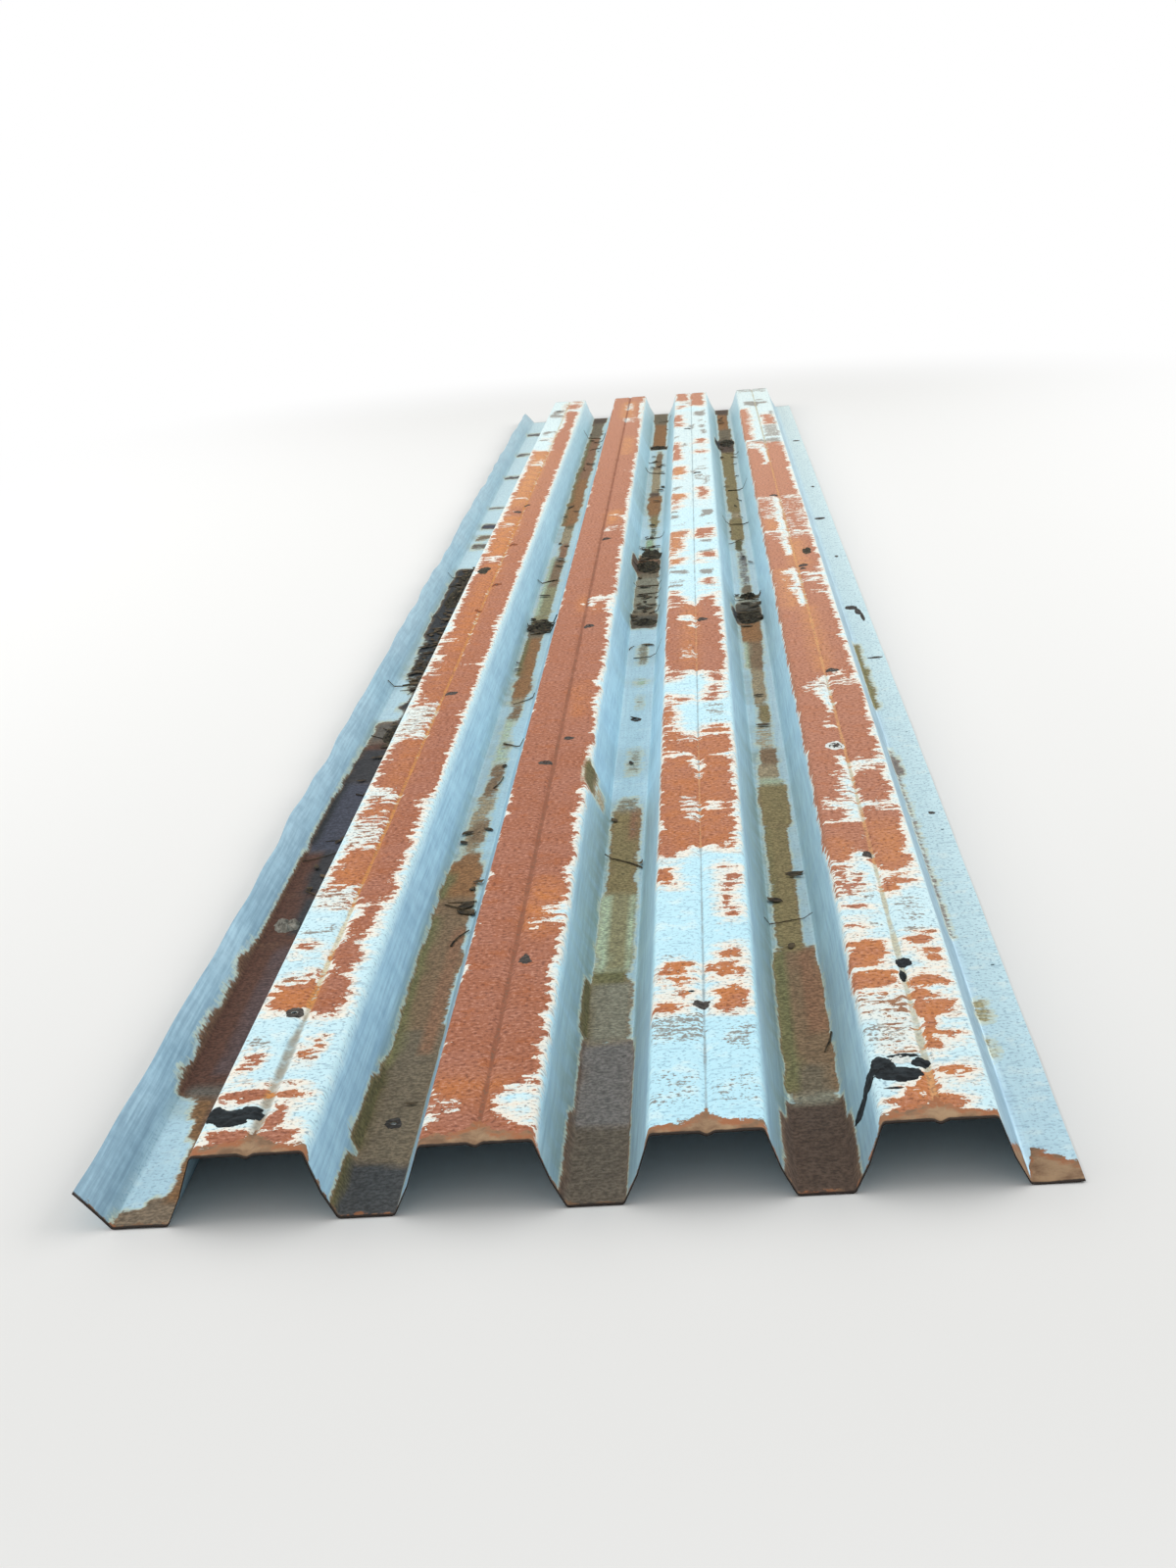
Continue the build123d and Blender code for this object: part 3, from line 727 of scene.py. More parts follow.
wear = {
    "deepest": 22.0,            # mm, where a patch counts as whole
    "endWeight": 0.55,          # ends of patches are more ragged than sides
    "rounding": 7.0,
    "baySize": 85.0,            # mm, outlines of patches wander in bays of this size
    "bayShift": (3.6, 20.0),    # and by so much across and along
    "bayShiftNear": 0.35,       # share of the shift along that is left at the near end
    "baySeeds": (11, 12),
    "siltShift": (0.5, 0.6),    # silt wanders less than rust
    "fleckEdge": (12.0, 24.0),
    "grimeEdge": (9.0, 14.0),
    "freshEdge": (24.0, 70.0),
    "siltEdge": (6.0, 14.0, 60.0),      # across, along at the near end, and how much more at the far end
    "crownGuard": [(-49.5, 46.0), (-49.5, 47.5), (-50.5, 45.5), (-50.5, 45.5)],
    "guardSlope": 2.6,          # rust stops at the bends: there its depth changes this much faster
    "overBend": 52.0,           # but a patch drawn beyond this runs on over the bend
    "firm": 13.0,               # mm, depth of even the smallest patch, or the noise of its edge would eat it
    # the brown burnt band at the cut near end, in mm
    "bandOnCrown": 18.0,
    "bandAtGroove": 58.0,
    "bandGrooveReach": 11.0,
    "bandOnWeb": 5.0,
    "bandOnFlange": 84.0,
    "bandFlangeSlope": 0.9,     # it narrows by this share of the way to the flange's edge
    "bandUpWeb": 40.0,          # and runs out this high up the last web
    "crownHeight": 50.0,        # above this it is the crown's
    # green film and painted shade that climb out of each valley up the foot of the webs, where silt keeps
    # them damp
    "filmShadeHeight": np.array([10.0, 18.0, 62.0, 58.0]),
    "filmShadeCurve": 0.7,
    "filmShadeThick": (0.85, 0.4),           # at the near and the far end
    "filmShadeOnRight": 0.4,                 # share of it on the right side of each valley
    "dampHalf": 9.0,                    # mm, silt this close to a valley's middle keeps its webs damp
    "flangeSide": -9.0,                 # mm from the flange's foot, from where on silt is the flange's
    "valleysEnd": -60.0,                # and where the last rib ends film and chalk of the valleys
    # chalk: from and to what height on the crowns, how far from the foot of the flange, and in the valleys
    "chalkOnCrown": (52.0, 60.0),
    "flangeRise": 6.0,
    "flangeChalk": [(0, 0.55), (250, 0.7), (700, 0.95)],        # mm from the near end, and how much
    "valleyHalf": 32.0,
    "valleyCurve": 0.3,
    "valleyChalk": 0.62,
    "cream": np.array([0.16, 0.0, 0.0, 0.22]),          # how creamy the chalk of each rib is
    "fleckCream": 0.6,                  # and of chalk where rust is broken up, and at the lip's tip
    "tipCream": 0.7,
    "tipWidth": 3.0,                    # mm of the left lip's tip
    # grey weathering, and painted shade on the lip and the last web: mm from the near end, and how much
    "lipGreyAndShade": [(0, 0.8), (300, 0.6), (900, 0.5), (1500, 0.4), (3000, 0.35)],
    "lastWebShade": [(0, 0.55), (1500, 0.6), (4000, 0.4)],
    "firstWebGrey": 0.3,
    "webFrom": (-50.0, 51.0),           # mm from the groove where the left and the right web start
    "dusty": np.array([-0.14, -0.1, 0.02, 0.16]),       # how dusty the rust of each rib is at the near end
    "dustFar": 0.9,
    "dustCurve": 1.3,
    # the stained line in each groove: mm, half its width at the near and the far end, and where that changes
    "grooveNear": np.array([5.0, 1.5, 0.0, 3.0]),
    "grooveFar": np.array([1.2, 2.0, 0.0, 1.2]),
    "grooveChange": (250, 650),
    "grooveInZinc": ["#938d79", "#95a9af", "#90a9b2", "#b9b9a0"],
    "grooveInRust": ["#d2904a", "#8a5138", "#d49c6c", "#dba56f"],
    "grooveCream": "#d9cda6",           # limescale in the groove, and how much on each rib
    "creamShare": np.array([0.9, 0.0, 0.0, 0.3]),
    "creamChange": (330, 390),
    "farthest": 60.0,                   # mm from the groove, beyond which it doesn't matter
    "underside": {"fleck": 0.25, "grime": 0.0, "chalk": 0.0, "ivory": 0.0, "silt": 0.0,
                  "film": 0.1, "grey": 0.6, "endBand": -20.0},
    "noiseShift": 1000,                 # mm, so that the underside has noise of its own
}


def grow(value, low, high):
    # 0 up to the low value and 1 from the high one on
    return np.clip((value - low) / (high - low), 0, 1)


def alongTable(along, table):
    return np.interp(along, *zip(*table))


def placesOf(spots, w):
    # where each point of the mesh lies on the sheet, and how far the outlines of patches are shifted there
    across, along, face = spots.T
    column = np.rint(np.interp(across, developed, np.arange(columns))).astype(int)
    x = np.interp(across, developed, under[:, 0])
    far = along / sheetLength
    bayAcross, bayAlong = [sway(across, along, w["baySize"], seed) for seed in w["baySeeds"]]
    return SimpleNamespace(
        across=across, along=along, x=x, far=far, upperFace=face > 0,
        tall=np.interp(across, developed, height),
        rib=ribOf[column], groove=across - (developed - fromGroove)[column],
        valley=valleyOf[column], middle=across - (developed - fromValley)[column],
        intoFlange=x - flangeFoot,
        shiftAcross=w["bayShift"][0] * bayAcross,
        shiftAlong=w["bayShift"][1] * (w["bayShiftNear"] + far) * bayAlong,
    )


def crownMaps(at, w):
    # how deep each point lies in rust, in mm, how broken up that rust is, and how much grime is on it
    rust = np.full(len(at.along), -w["deepest"])
    fleck, grime = np.zeros_like(rust), np.zeros_like(rust)
    for number, boxes in enumerate(crownRust):
        mine = at.rib == number
        groove = at.groove[mine]
        u, y = (at.groove + at.shiftAcross)[mine], (at.along + at.shiftAlong)[mine]
        depth, broken, dirt = rust[mine], fleck[mine], grime[mine]
        left, right = w["crownGuard"][number]
        guard = w["guardSlope"] * np.minimum(groove - left, right - groove)
        for kind, *box in boxes:
            if kind == "fleck":
                broken = np.maximum(broken, box[4] * softBox(u, y, box, w["fleckEdge"]))
                continue
            if kind == "grime":
                dirt = np.maximum(dirt, box[4] * softBox(u, y, box, w["grimeEdge"]))
                continue
            inside = boxDepth(u, y, box, w["endWeight"], w["rounding"])
            half = min((box[1] - box[0]) / 2, (box[3] - box[2]) / 2 * w["endWeight"])
            inside = inside * np.where(inside > 0, max(1, w["firm"] / half), 1)
            inside = np.clip(inside, -w["deepest"], w["deepest"])
            if kind == "bare":
                depth = np.minimum(depth, -inside)
            else:
                beyond = box[0] < -w["overBend"] or box[1] > w["overBend"]
                depth = np.maximum(depth, inside if beyond else np.minimum(inside, guard))
        rust[mine], fleck[mine], grime[mine] = depth, broken, dirt
    return rust, fleck, grime


def freshMap(at, w):
    # how bright the rust is
    fresh = np.zeros_like(at.along)
    for number, *box, strength in freshRust:
        share = softBox(at.groove, at.along + at.shiftAlong, box, w["freshEdge"])
        fresh = np.maximum(fresh, strength * share * (at.rib == number))
    return fresh


def siltMaps(at, w):
    # how thick silt lies, its colour, and how damp it keeps the metal beside it
    silt, damp = np.zeros_like(at.along), np.zeros_like(at.along)
    tone = np.tile(np.array(hexToLinear(siltTones["brown"])), (len(silt), 1))
    edge = (w["siltEdge"][0], w["siltEdge"][1] + w["siltEdge"][2] * at.far)
    before = at.intoFlange < w["flangeSide"]
    places = [(at.middle, (at.valley == number) & before) for number in range(section["ribs"])]
    fromFoot = at.across - np.interp(flangeFoot, under[:, 0], developed)
    places.append((fromFoot, at.intoFlange > w["flangeSide"]))
    shiftAcross, shiftAlong = w["siltShift"][0] * at.shiftAcross, w["siltShift"][1] * at.shiftAlong
    for boxes, (across, here) in zip(valleySilt + [flangeSilt], places):
        for kind, *box, amount in boxes:
            share = here * softBox(across + shiftAcross, at.along + shiftAlong, box, edge)
            silt = silt * (1 - share) + amount * share
            tone = tone + (np.array(hexToLinear(siltTones[kind])) - tone) * share[:, None]
            beside = np.clip(across, -w["dampHalf"], w["dampHalf"])
            damp = np.maximum(damp, amount * here * softBox(beside, at.along, box, edge))
    return silt, tone, damp


def bandMap(at, w, onCrown, onFlange, lastWeb):
    # how far each point lies inside the burnt band at the near end, in mm
    band = np.where(at.tall > w["crownHeight"], w["bandOnCrown"], w["bandOnWeb"])
    atGroove = np.exp(-np.abs(at.groove) / w["bandGrooveReach"])
    band = band + onCrown * (w["bandAtGroove"] - w["bandOnCrown"]) * atGroove
    band = np.where(lastWeb, w["bandOnFlange"] * np.clip(1 - at.tall / w["bandUpWeb"], 0, 1), band)
    onto = w["bandOnFlange"] - w["bandOnWeb"] - w["bandFlangeSlope"] * at.intoFlange
    return band + onFlange * onto - at.along


def ribColours(texts, rib):
    return np.array([hexToLinear(text) for text in texts])[rib]


def wearMaps(spots, w):
    # every map that the paint reads, for each point of the mesh: values, colours and the place on the metal
    at = placesOf(spots, w)
    rust, fleck, grime = crownMaps(at, w)
    silt, siltTone, damp = siltMaps(at, w)
    onCrown = grow(at.tall, *w["chalkOnCrown"])
    onFlange = grow(at.intoFlange, 0, w["flangeRise"])
    inside = at.intoFlange < w["valleysEnd"]
    onValley = np.clip(1 - np.abs(at.middle) / w["valleyHalf"], 0, 1) ** w["valleyCurve"] * inside
    chalk = np.maximum(onCrown, onFlange * alongTable(at.along, w["flangeChalk"]))
    chalk = np.maximum(chalk, w["valleyChalk"] * onValley)
    tip = 1 - grow(at.x, leftEdge, leftEdge + w["tipWidth"])
    ivory = np.maximum(w["tipCream"] * tip, w["cream"][at.rib])
    ivory = np.maximum(ivory, w["fleckCream"] * np.minimum(fleck, 1))
    firstWeb = (at.rib == 0) & (at.groove < w["webFrom"][0]) & (at.x > firstValley + section["valleyWidth"])
    lastWeb = (at.rib == section["ribs"] - 1) & (at.groove > w["webFrom"][1]) & (at.intoFlange < 0)
    # grey: on the first web weathering, on the lip partly weathering and partly painted shade, on the last
    # web painted shade
    grey = (at.x < firstValley) * alongTable(at.along, w["lipGreyAndShade"])
    grey = np.where(lastWeb, alongTable(at.along, w["lastWebShade"]), grey)
    grey = np.where(firstWeb, w["firstWebGrey"], grey)
    # partly green film and partly painted shade at the foot of the webs
    film = np.clip(1 - at.tall / w["filmShadeHeight"][at.valley], 0, 1) ** w["filmShadeCurve"] * damp * inside
    film = film * (w["filmShadeThick"][0] + (w["filmShadeThick"][1] - w["filmShadeThick"][0]) * at.far)
    film = film * np.where(at.middle < 0, 1.0, w["filmShadeOnRight"])
    grooveHalf = (w["grooveFar"] - w["grooveNear"])[at.rib] * grow(at.along, *w["grooveChange"])
    grooveHalf = w["grooveNear"][at.rib] + grooveHalf
    cream = (w["creamShare"][at.rib] * grow(at.along, *w["creamChange"]))[:, None]
    grooveZinc = ribColours(w["grooveInZinc"], at.rib)
    grooveZinc = grooveZinc + (np.array(hexToLinear(w["grooveCream"])) - grooveZinc) * cream
    values = {
        "rustDepth": np.where(at.upperFace, rust, -w["deepest"]),
        "fleck": fleck,
        "grime": grime,
        "fresh": freshMap(at, w),
        "grooveDistance": np.clip(np.abs(at.groove) - grooveHalf, 0, w["farthest"]),
        "chalk": chalk,
        "ivory": ivory,
        "silt": silt,
        "film": film,
        "grey": grey,
        "dust": np.clip(w["dustFar"] * at.far ** w["dustCurve"] + w["dusty"][at.rib], 0, 1),
        "endBand": bandMap(at, w, onCrown, onFlange, lastWeb),
    }
    for name, value in w["underside"].items():
        values[name] = np.where(at.upperFace, values[name], value)
    grooveRust = ribColours(w["grooveInRust"], at.rib)
    colours = {"siltTone": siltTone, "grooveZinc": grooveZinc, "grooveRust": grooveRust}
    deep = np.where(at.upperFace, 0, w["noiseShift"])
    return values, colours, np.stack([at.across, at.along, deep], axis=1) * mm


def storeMaps(mesh, values, colours, run):
    for name, value in values.items():
        mesh.attributes.new(name, "FLOAT", "POINT").data.foreach_set("value", value.astype(np.float32))
    for name, colour in colours.items():
        data = mesh.attributes.new(name, "FLOAT_COLOR", "POINT").data
        data.foreach_set("color", colour.astype(np.float32).ravel())
    data = mesh.attributes.new("run", "FLOAT_VECTOR", "POINT").data
    data.foreach_set("vector", run.astype(np.float32).ravel())


storeMaps(sheet.data, *wearMaps(sheetSpots, wear))
print("stage 3: wear maps on the sheet")

# Galvanised steel: mild steel strip dipped in zinc and roll-formed. Out of doors the zinc dulls to a soft
# blue-grey with lengthwise streaks, chalks nearly white where rain stands on the crowns, and where it is
# used up the steel shows as matt pebbly rust behind a cream rim of zinc salts.
even = (1.0, 1.0, 1.0)      # a noise that isn't squeezed
zinc = {
    "tints": {
        "webDark": "#8bb0c8",
        "webPale": "#bde0ee",
        "webFar": "#c4e2e6",
        "chalk": "#bfebf8",
        "chalkWarm": "#e0f5f5",
        "ivory": "#f3ecdd",
        "grime": "#82776a",
        "dirt": "#8bb6ca",
        "crust": "#7b6754",
        # green film, also used as painted shade at the foot of the webs
        "film": "#788c7c",
        # grey of weathered zinc, also used as painted shade on the lip and the last web
        "grey": "#6d8998",
        "rust": "#a3664a",
        "rustPink": "#a76d55",
        "pit": "#5d3226",
        "grain": "#d59c84",
        "rustFresh": "#c87d42",
        "freshDusty": "#dca067",
        "rustEdge": "#a85f33",
        "rustDusty": "#cb9478",
        "band": "#7d6048",
        "bandLight": "#ab8d6d",
        "bandRust": "#a2603a",
        "siltRim": "#cfd8c2",
        "cutSteel": "#2b211a",
        "crumb": "#2c2b28",
    },
    # noises: how far squeezed across and along, size in mm, detail and roughness
    "noises": {
        "wander": (even, 70.0, 2.0, 0.55),      # how far apart the bays of a rust patch lie
        "ragged": (even, 13.0, 4.0, 0.66),      # teeth of its edge
        "grit": (even, 5.0, 2.0, 0.55),         # rust pebbles of 1 to 2 mm, drawn coarser so that they show
        "mottle": (even, 30.0, 4.0, 0.6),
        "speck": (even, 4.4, 2.0, 0.55),        # dirt spots of 1 to 2 mm, drawn coarser too
        "cloud": ((1.0, 0.45, 1.0), 190.0, 3.0, 0.55),      # slow change of tone along the metal
        "rows": ((0.33, 1.0, 1.0), 8.0, 3.0, 0.6),          # broken rows of dirt left by drips
        "bars": ((0.3, 1.0, 1.0), 26.0, 2.0, 0.55),         # teeth that reach in from the edges of the crowns
        "brushed": ((1.0, 0.03, 1.0), 4.0, 3.0, 0.6),       # lengthwise streaks
    },
    # how far the edge of the rust swings with each noise, in mm, and how much more where it is broken up
    "swing": {"ragged": (20.0, 40.0), "rows": (8.0, 46.0), "bars": (18.0, 0.0), "wander": (14.0, 0.0),
              "grit": (14.0, 0.0)},
    "fleckLoss": 0.42,      # share of its depth that broken rust loses
    "teeth": 15.0,          # mm, half the pitch of the saw edge that roll-forming left in the zinc
    "teethWander": 60.0,    # mm, how unevenly they follow each other
    "teethDepth": (2.0, 9.0),
    "cutWidth": 7.0,        # mm of dark bare steel at the two cut ends
    "cutSoft": 2.5,
}
# the maps that the paint reads, by the kind of value they hold
paintMaps = {
    "Fac": ("rustDepth", "fleck", "grime", "fresh", "grooveDistance", "chalk", "ivory", "silt", "film",
            "grey", "dust", "endBand"),
    "Color": ("siltTone", "grooveZinc", "grooveRust"),
    "Vector": ("run",),
}


def paintSheet(z):
    steel, tree = newMaterial("weathered galvanised steel")

    def cover(*fields):
        # how much of a coat shows: fields multiplied. A field with numbers is first made a soft step between
        # the first two of them, which goes from 0 to 1 or from the third to the fourth
        total = None
        for field in fields:
            if isinstance(field, tuple):
                field = addNode(tree, "MapRange", field, interpolation_type="SMOOTHSTEP")
            total = field if total is None else addNode(tree, "Math", (total, field), operation="MULTIPLY")
        return total

    def stack(colour, coats):
        # lays coats over a colour, each with how much of it shows
        for share, coat in coats:
            colour = addNode(tree, "Mix", {0: cover(share), 6: colour, 7: coat}, 2, data_type="RGBA")
        return colour

    def roughen(value, *swings):
        # shifts a value by noises, each with the mm or share of its whole swing
        for field, swing in swings:
            off = addNode(tree, "Math", (field, 0.5), operation="SUBTRACT")
            value = addNode(tree, "Math", (off, swing, value), operation="MULTIPLY_ADD")
        return value

    tint = SimpleNamespace(**{name: hexToLinear(text) for name, text in z["tints"].items()})
    maps = SimpleNamespace()
    for out, names in paintMaps.items():
        for name in names:
            setattr(maps, name, addNode(tree, "Attribute", out=out, attribute_name=name))
    noise = SimpleNamespace()
    for name, (squeeze, size, detail, roughness) in z["noises"].items():
        place = addNode(tree, "VectorMath", (maps.run, squeeze), operation="MULTIPLY")
        grain = {"Vector": place, "Scale": 1000 / size, "Detail": detail, "Roughness": roughness}
        setattr(noise, name, addNode(tree, "TexNoise", grain))
    along = addNode(tree, "SeparateXYZ", (maps.run,), out=1)
    along = addNode(tree, "Math", (along, 1000.0), operation="MULTIPLY")
    far = addNode(tree, "Math", (along, sheetLength), operation="DIVIDE")

    # how deep a point lies in rust, in mm: the mapped depth, with an uneven edge
    swing = {}
    for name, (whole, broken) in z["swing"].items():
        swing[name] = whole
        if broken:
            swing[name] = addNode(tree, "Math", (maps.fleck, broken, whole), operation="MULTIPLY_ADD")
    edge = addNode(tree, "Math", (maps.fleck, -z["fleckLoss"], 1.0), operation="MULTIPLY_ADD")
    edge = addNode(tree, "Math", (maps.rustDepth, edge), operation="MULTIPLY")
    edge = roughen(edge, *[(getattr(noise, name), swing[name]) for name in ("ragged", "rows", "bars")])
    saw = addNode(tree, "Math", (noise.wander, z["teethWander"], along), operation="MULTIPLY_ADD")
    saw = addNode(tree, "Math", (saw, z["teeth"]), operation="PINGPONG")
    saw = addNode(tree, "Math", (saw, 0.9 / z["teeth"], -0.45), operation="MULTIPLY_ADD")
    sawDepth = cover((noise.mottle, 0.35, 0.6, *z["teethDepth"]))
    edge = addNode(tree, "Math", (saw, sawDepth, edge), operation="MULTIPLY_ADD")
    edge = roughen(edge, *[(getattr(noise, name), swing[name]) for name in ("wander", "grit")])
    rusted = cover((edge, -0.7, 0.7))

    # zinc on the webs: blotchy blue-grey, greyed by weathering and by painted shade on the lip and the last
    # web
    blotch = addNode(tree, "Math", (noise.mottle, 0.35), operation="MULTIPLY")
    blotch = addNode(tree, "Math", (noise.brushed, 0.65, blotch), operation="MULTIPLY_ADD")
    blotch = roughen(blotch, (noise.cloud, 0.3))
    farTone = addNode(tree, "Math", (far, 0.6), operation="MULTIPLY")
    webs = stack(tint.webDark, [
        ((blotch, 0.27, 0.73), tint.webPale),
        (farTone, tint.webFar),
        ((noise.speck, 0.56, 0.68, 0.0, 0.25), tint.webDark),
        (cover(maps.grey, (blotch, 0.6, 0.4, 0.7, 1.0)), tint.grey),
    ])

    # on the crowns it is chalk with small dirt spots, warmer far off and ivory beside rust
    specks = cover((noise.speck, 0.53, 0.66, 0.0, 0.8))
    spots = cover((noise.rows, 0.55, 0.66, 0.0, 0.6), (noise.mottle, 0.62, 0.42, 0.2, 1.0))
    spots = addNode(tree, "Math", (spots, specks), operation="MAXIMUM")
    warm = cover((noise.mottle, 0.5, 0.68, 0.0, 0.7))
    warm = addNode(tree, "Math", (warm, far), operation="MAXIMUM")
    beside = cover((edge, -16.0, -3.0, 0.0, 0.8))
    beside = addNode(tree, "Math", (maps.ivory, beside), operation="MAXIMUM")
    dirt = stack(tint.dirt, [(beside, tint.crust)])
    chalky = stack(tint.chalk, [(warm, tint.chalkWarm), (beside, tint.ivory), (spots, dirt)])
    dirty = roughen(maps.grime, (noise.rows, 2.6), (noise.speck, 2.6))
    dirty = addNode(tree, "Math", (far, 0.2, dirty), operation="MULTIPLY_ADD")
    dirty = cover((dirty, 0.45, 0.85, 0.0, 0.85), (maps.grime, 0.03, 0.2))
    # green film with painted shade at the foot of the webs
    film = cover(maps.film, (noise.mottle, 0.35, 0.62, 0.55, 1.0))
    rim = cover((edge, -6.5, -1.0, 0.0, 0.9), (noise.mottle, 0.36, 0.56, 0.3, 1.0),
                (maps.chalk, 0.1, 0.8, 0.3, 1.0))

    # rust: dark pits and pale grains, dusty far off, bright at its edges and where it is young
    youth = cover(maps.fresh, (noise.mottle, 0.36, 0.6, 0.5, 1.2))
    bright = stack(tint.rustFresh, [((maps.dust, 0.1, 0.5), tint.freshDusty)])
    rust = stack(tint.rust, [
        ((noise.wander, 0.42, 0.6, 0.0, 0.85), tint.rustPink),
        ((noise.mottle, 0.52, 0.66, 0.0, 0.6), tint.rustEdge),
        (maps.dust, tint.rustDusty),
        ((edge, 7.0, 0.5, 0.0, 0.5), tint.rustEdge),
        (youth, bright),
        ((noise.grit, 0.46, 0.36, 0.0, 0.6), tint.pit),
        ((noise.grit, 0.54, 0.66, 0.0, 0.5), tint.grain),
        ((maps.rustDepth, -1.0, -10.0, 0.0, 0.6), tint.crust),
    ])

    # the roll-formed groove holds a line of run-off
    offset = addNode(tree, "Math", (noise.wander, 4.0, maps.grooveDistance), operation="MULTIPLY_ADD")
    line = cover((offset, 4.4, 2.2, 0.0, 0.85), (noise.mottle, 0.3, 0.56, 0.45, 1.0))
    lined = stack(maps.grooveZinc, [
        (rusted, maps.grooveRust),
        ((noise.grit, 0.54, 0.38, 0.0, 0.55), tint.crust),
    ])

    # silt in the valleys: grainy, with dark crumbs, and a pale rim of salts round it
    thick = roughen(maps.silt, (noise.ragged, 0.8), (noise.rows, 0.8), (noise.grit, 0.6))
    silted = cover((thick, 0.3, 0.62))
    salty = cover((thick, 0.04, 0.28, 0.0, 0.8), (maps.silt, 0.02, 0.12), (noise.mottle, 0.4, 0.58, 0.4, 1.0))
    tone = maps.siltTone
    for change in ((noise.speck, 0.36, 0.64, 1.25, 0.72), (noise.ragged, 0.35, 0.65, 0.8, 1.2)):
        tone = addNode(tree, "VectorMath", {0: tone, "Scale": cover(change)}, operation="SCALE")
    tone = stack(tone, [(cover((noise.ragged, 0.6, 0.68, 0.0, 0.5), silted), tint.crumb)])

    # the burnt brown band at the near end, and the bare cut edge at both
    offset = addNode(tree, "Math", (noise.ragged, 44.0, maps.endBand), operation="MULTIPLY_ADD")
    banded = cover((offset, 21.0, 24.0))
    burnt = stack(tint.band, [
        ((noise.mottle, 0.35, 0.65), tint.bandLight),
        (cover((offset, 44.0, 30.0, 0.0, 0.8), (noise.mottle, 0.42, 0.58)), tint.bandRust),
    ])
    fromFarEnd = addNode(tree, "Math", (sheetLength, along), operation="SUBTRACT")
    fromEnd = addNode(tree, "Math", (along, fromFarEnd), operation="MINIMUM")
    fromEnd = addNode(tree, "Math", (noise.ragged, 4.0, fromEnd), operation="MULTIPLY_ADD")

    colour = stack(webs, [
        (maps.chalk, chalky),
        (dirty, tint.grime),
        (film, tint.film),
        (rim, tint.ivory),
        (rusted, rust),
        (line, lined),
        (salty, tint.siltRim),
        (silted, tone),
        (banded, burnt),
        ((fromEnd, z["cutWidth"], z["cutWidth"] - z["cutSoft"]), tint.cutSteel),
    ])

    # only sound zinc still shines
    covered = rusted
    for coat in (silted, banded):
        covered = addNode(tree, "Math", (covered, coat), operation="MAXIMUM")
    sound = addNode(tree, "Math", (1.0, covered), operation="SUBTRACT")
    metal = cover((maps.chalk, 0.0, 1.0, 0.5, 0.08), sound)
    rough = addNode(tree, "Mix", {0: covered, 2: cover((maps.chalk, 0.0, 1.0, 0.44, 0.66)), 3: 0.92})
    relief = addNode(tree, "Math", (noise.grit, 0.9), operation="MULTIPLY")
    relief = addNode(tree, "Math", (relief, covered), operation="MULTIPLY")
    relief = addNode(tree, "Math", (noise.mottle, 0.15, relief), operation="MULTIPLY_ADD")
    bump = addNode(tree, "Bump", {"Height": relief, "Strength": 0.8, "Distance": 0.001})
    shader = addNode(tree, "BsdfPrincipled", {"Base Color": colour, "Metallic": metal, "Roughness": rough,
                                              "Specular IOR Level": 0.3, "Normal": bump})
    addNode(tree, "OutputMaterial", {"Surface": shader})
    return steel


sheet.data.materials.append(paintSheet(zinc))
print("stage 4: sheet painted")

# Everything that lies on the sheet is a closed lump, leaf or twig that follows the metal under it. Its tables
# give the rib or valley, then mm across from its middle and mm from the near end; sizes are half the width,
# half the length and the thickness, in mm, and last how ragged the outline is.
ribAcross = np.interp(ribCentres, under[:, 0], developed)
valleyAcross = np.interp(valleyCentres, under[:, 0], developed)
lump = {
    "spokes": 44,
    "rings": 7,
    "lobes": (2, 3, 4, 6, 9, 13),   # how many lobes the outline's waves have
    "lobeSize": (0.4, 1.0),
    "lobeFade": 0.6,
    "centre": 0.02,         # share of the size at which the innermost ring of a whole lump lies
    "bumpSize": (0.55, 0.2),        # large and small bumps, as shares of the half width
    "bumpRise": (0.7, 0.5, 0.25),   # even thickness, then the large and the small bumps
    "bumpLimits": (0.15, 1.3),
    "edgeSlope": 4,         # how steeply the rim falls
    "sunk": 0.35,           # mm below the metal's upper face, so that no edge floats
    "bottom": 0.1,          # and so much deeper lies the bottom
    "holeGap": 0.5,         # mm of clear metal round a screw hole
    "sharpAngle": 40,
}


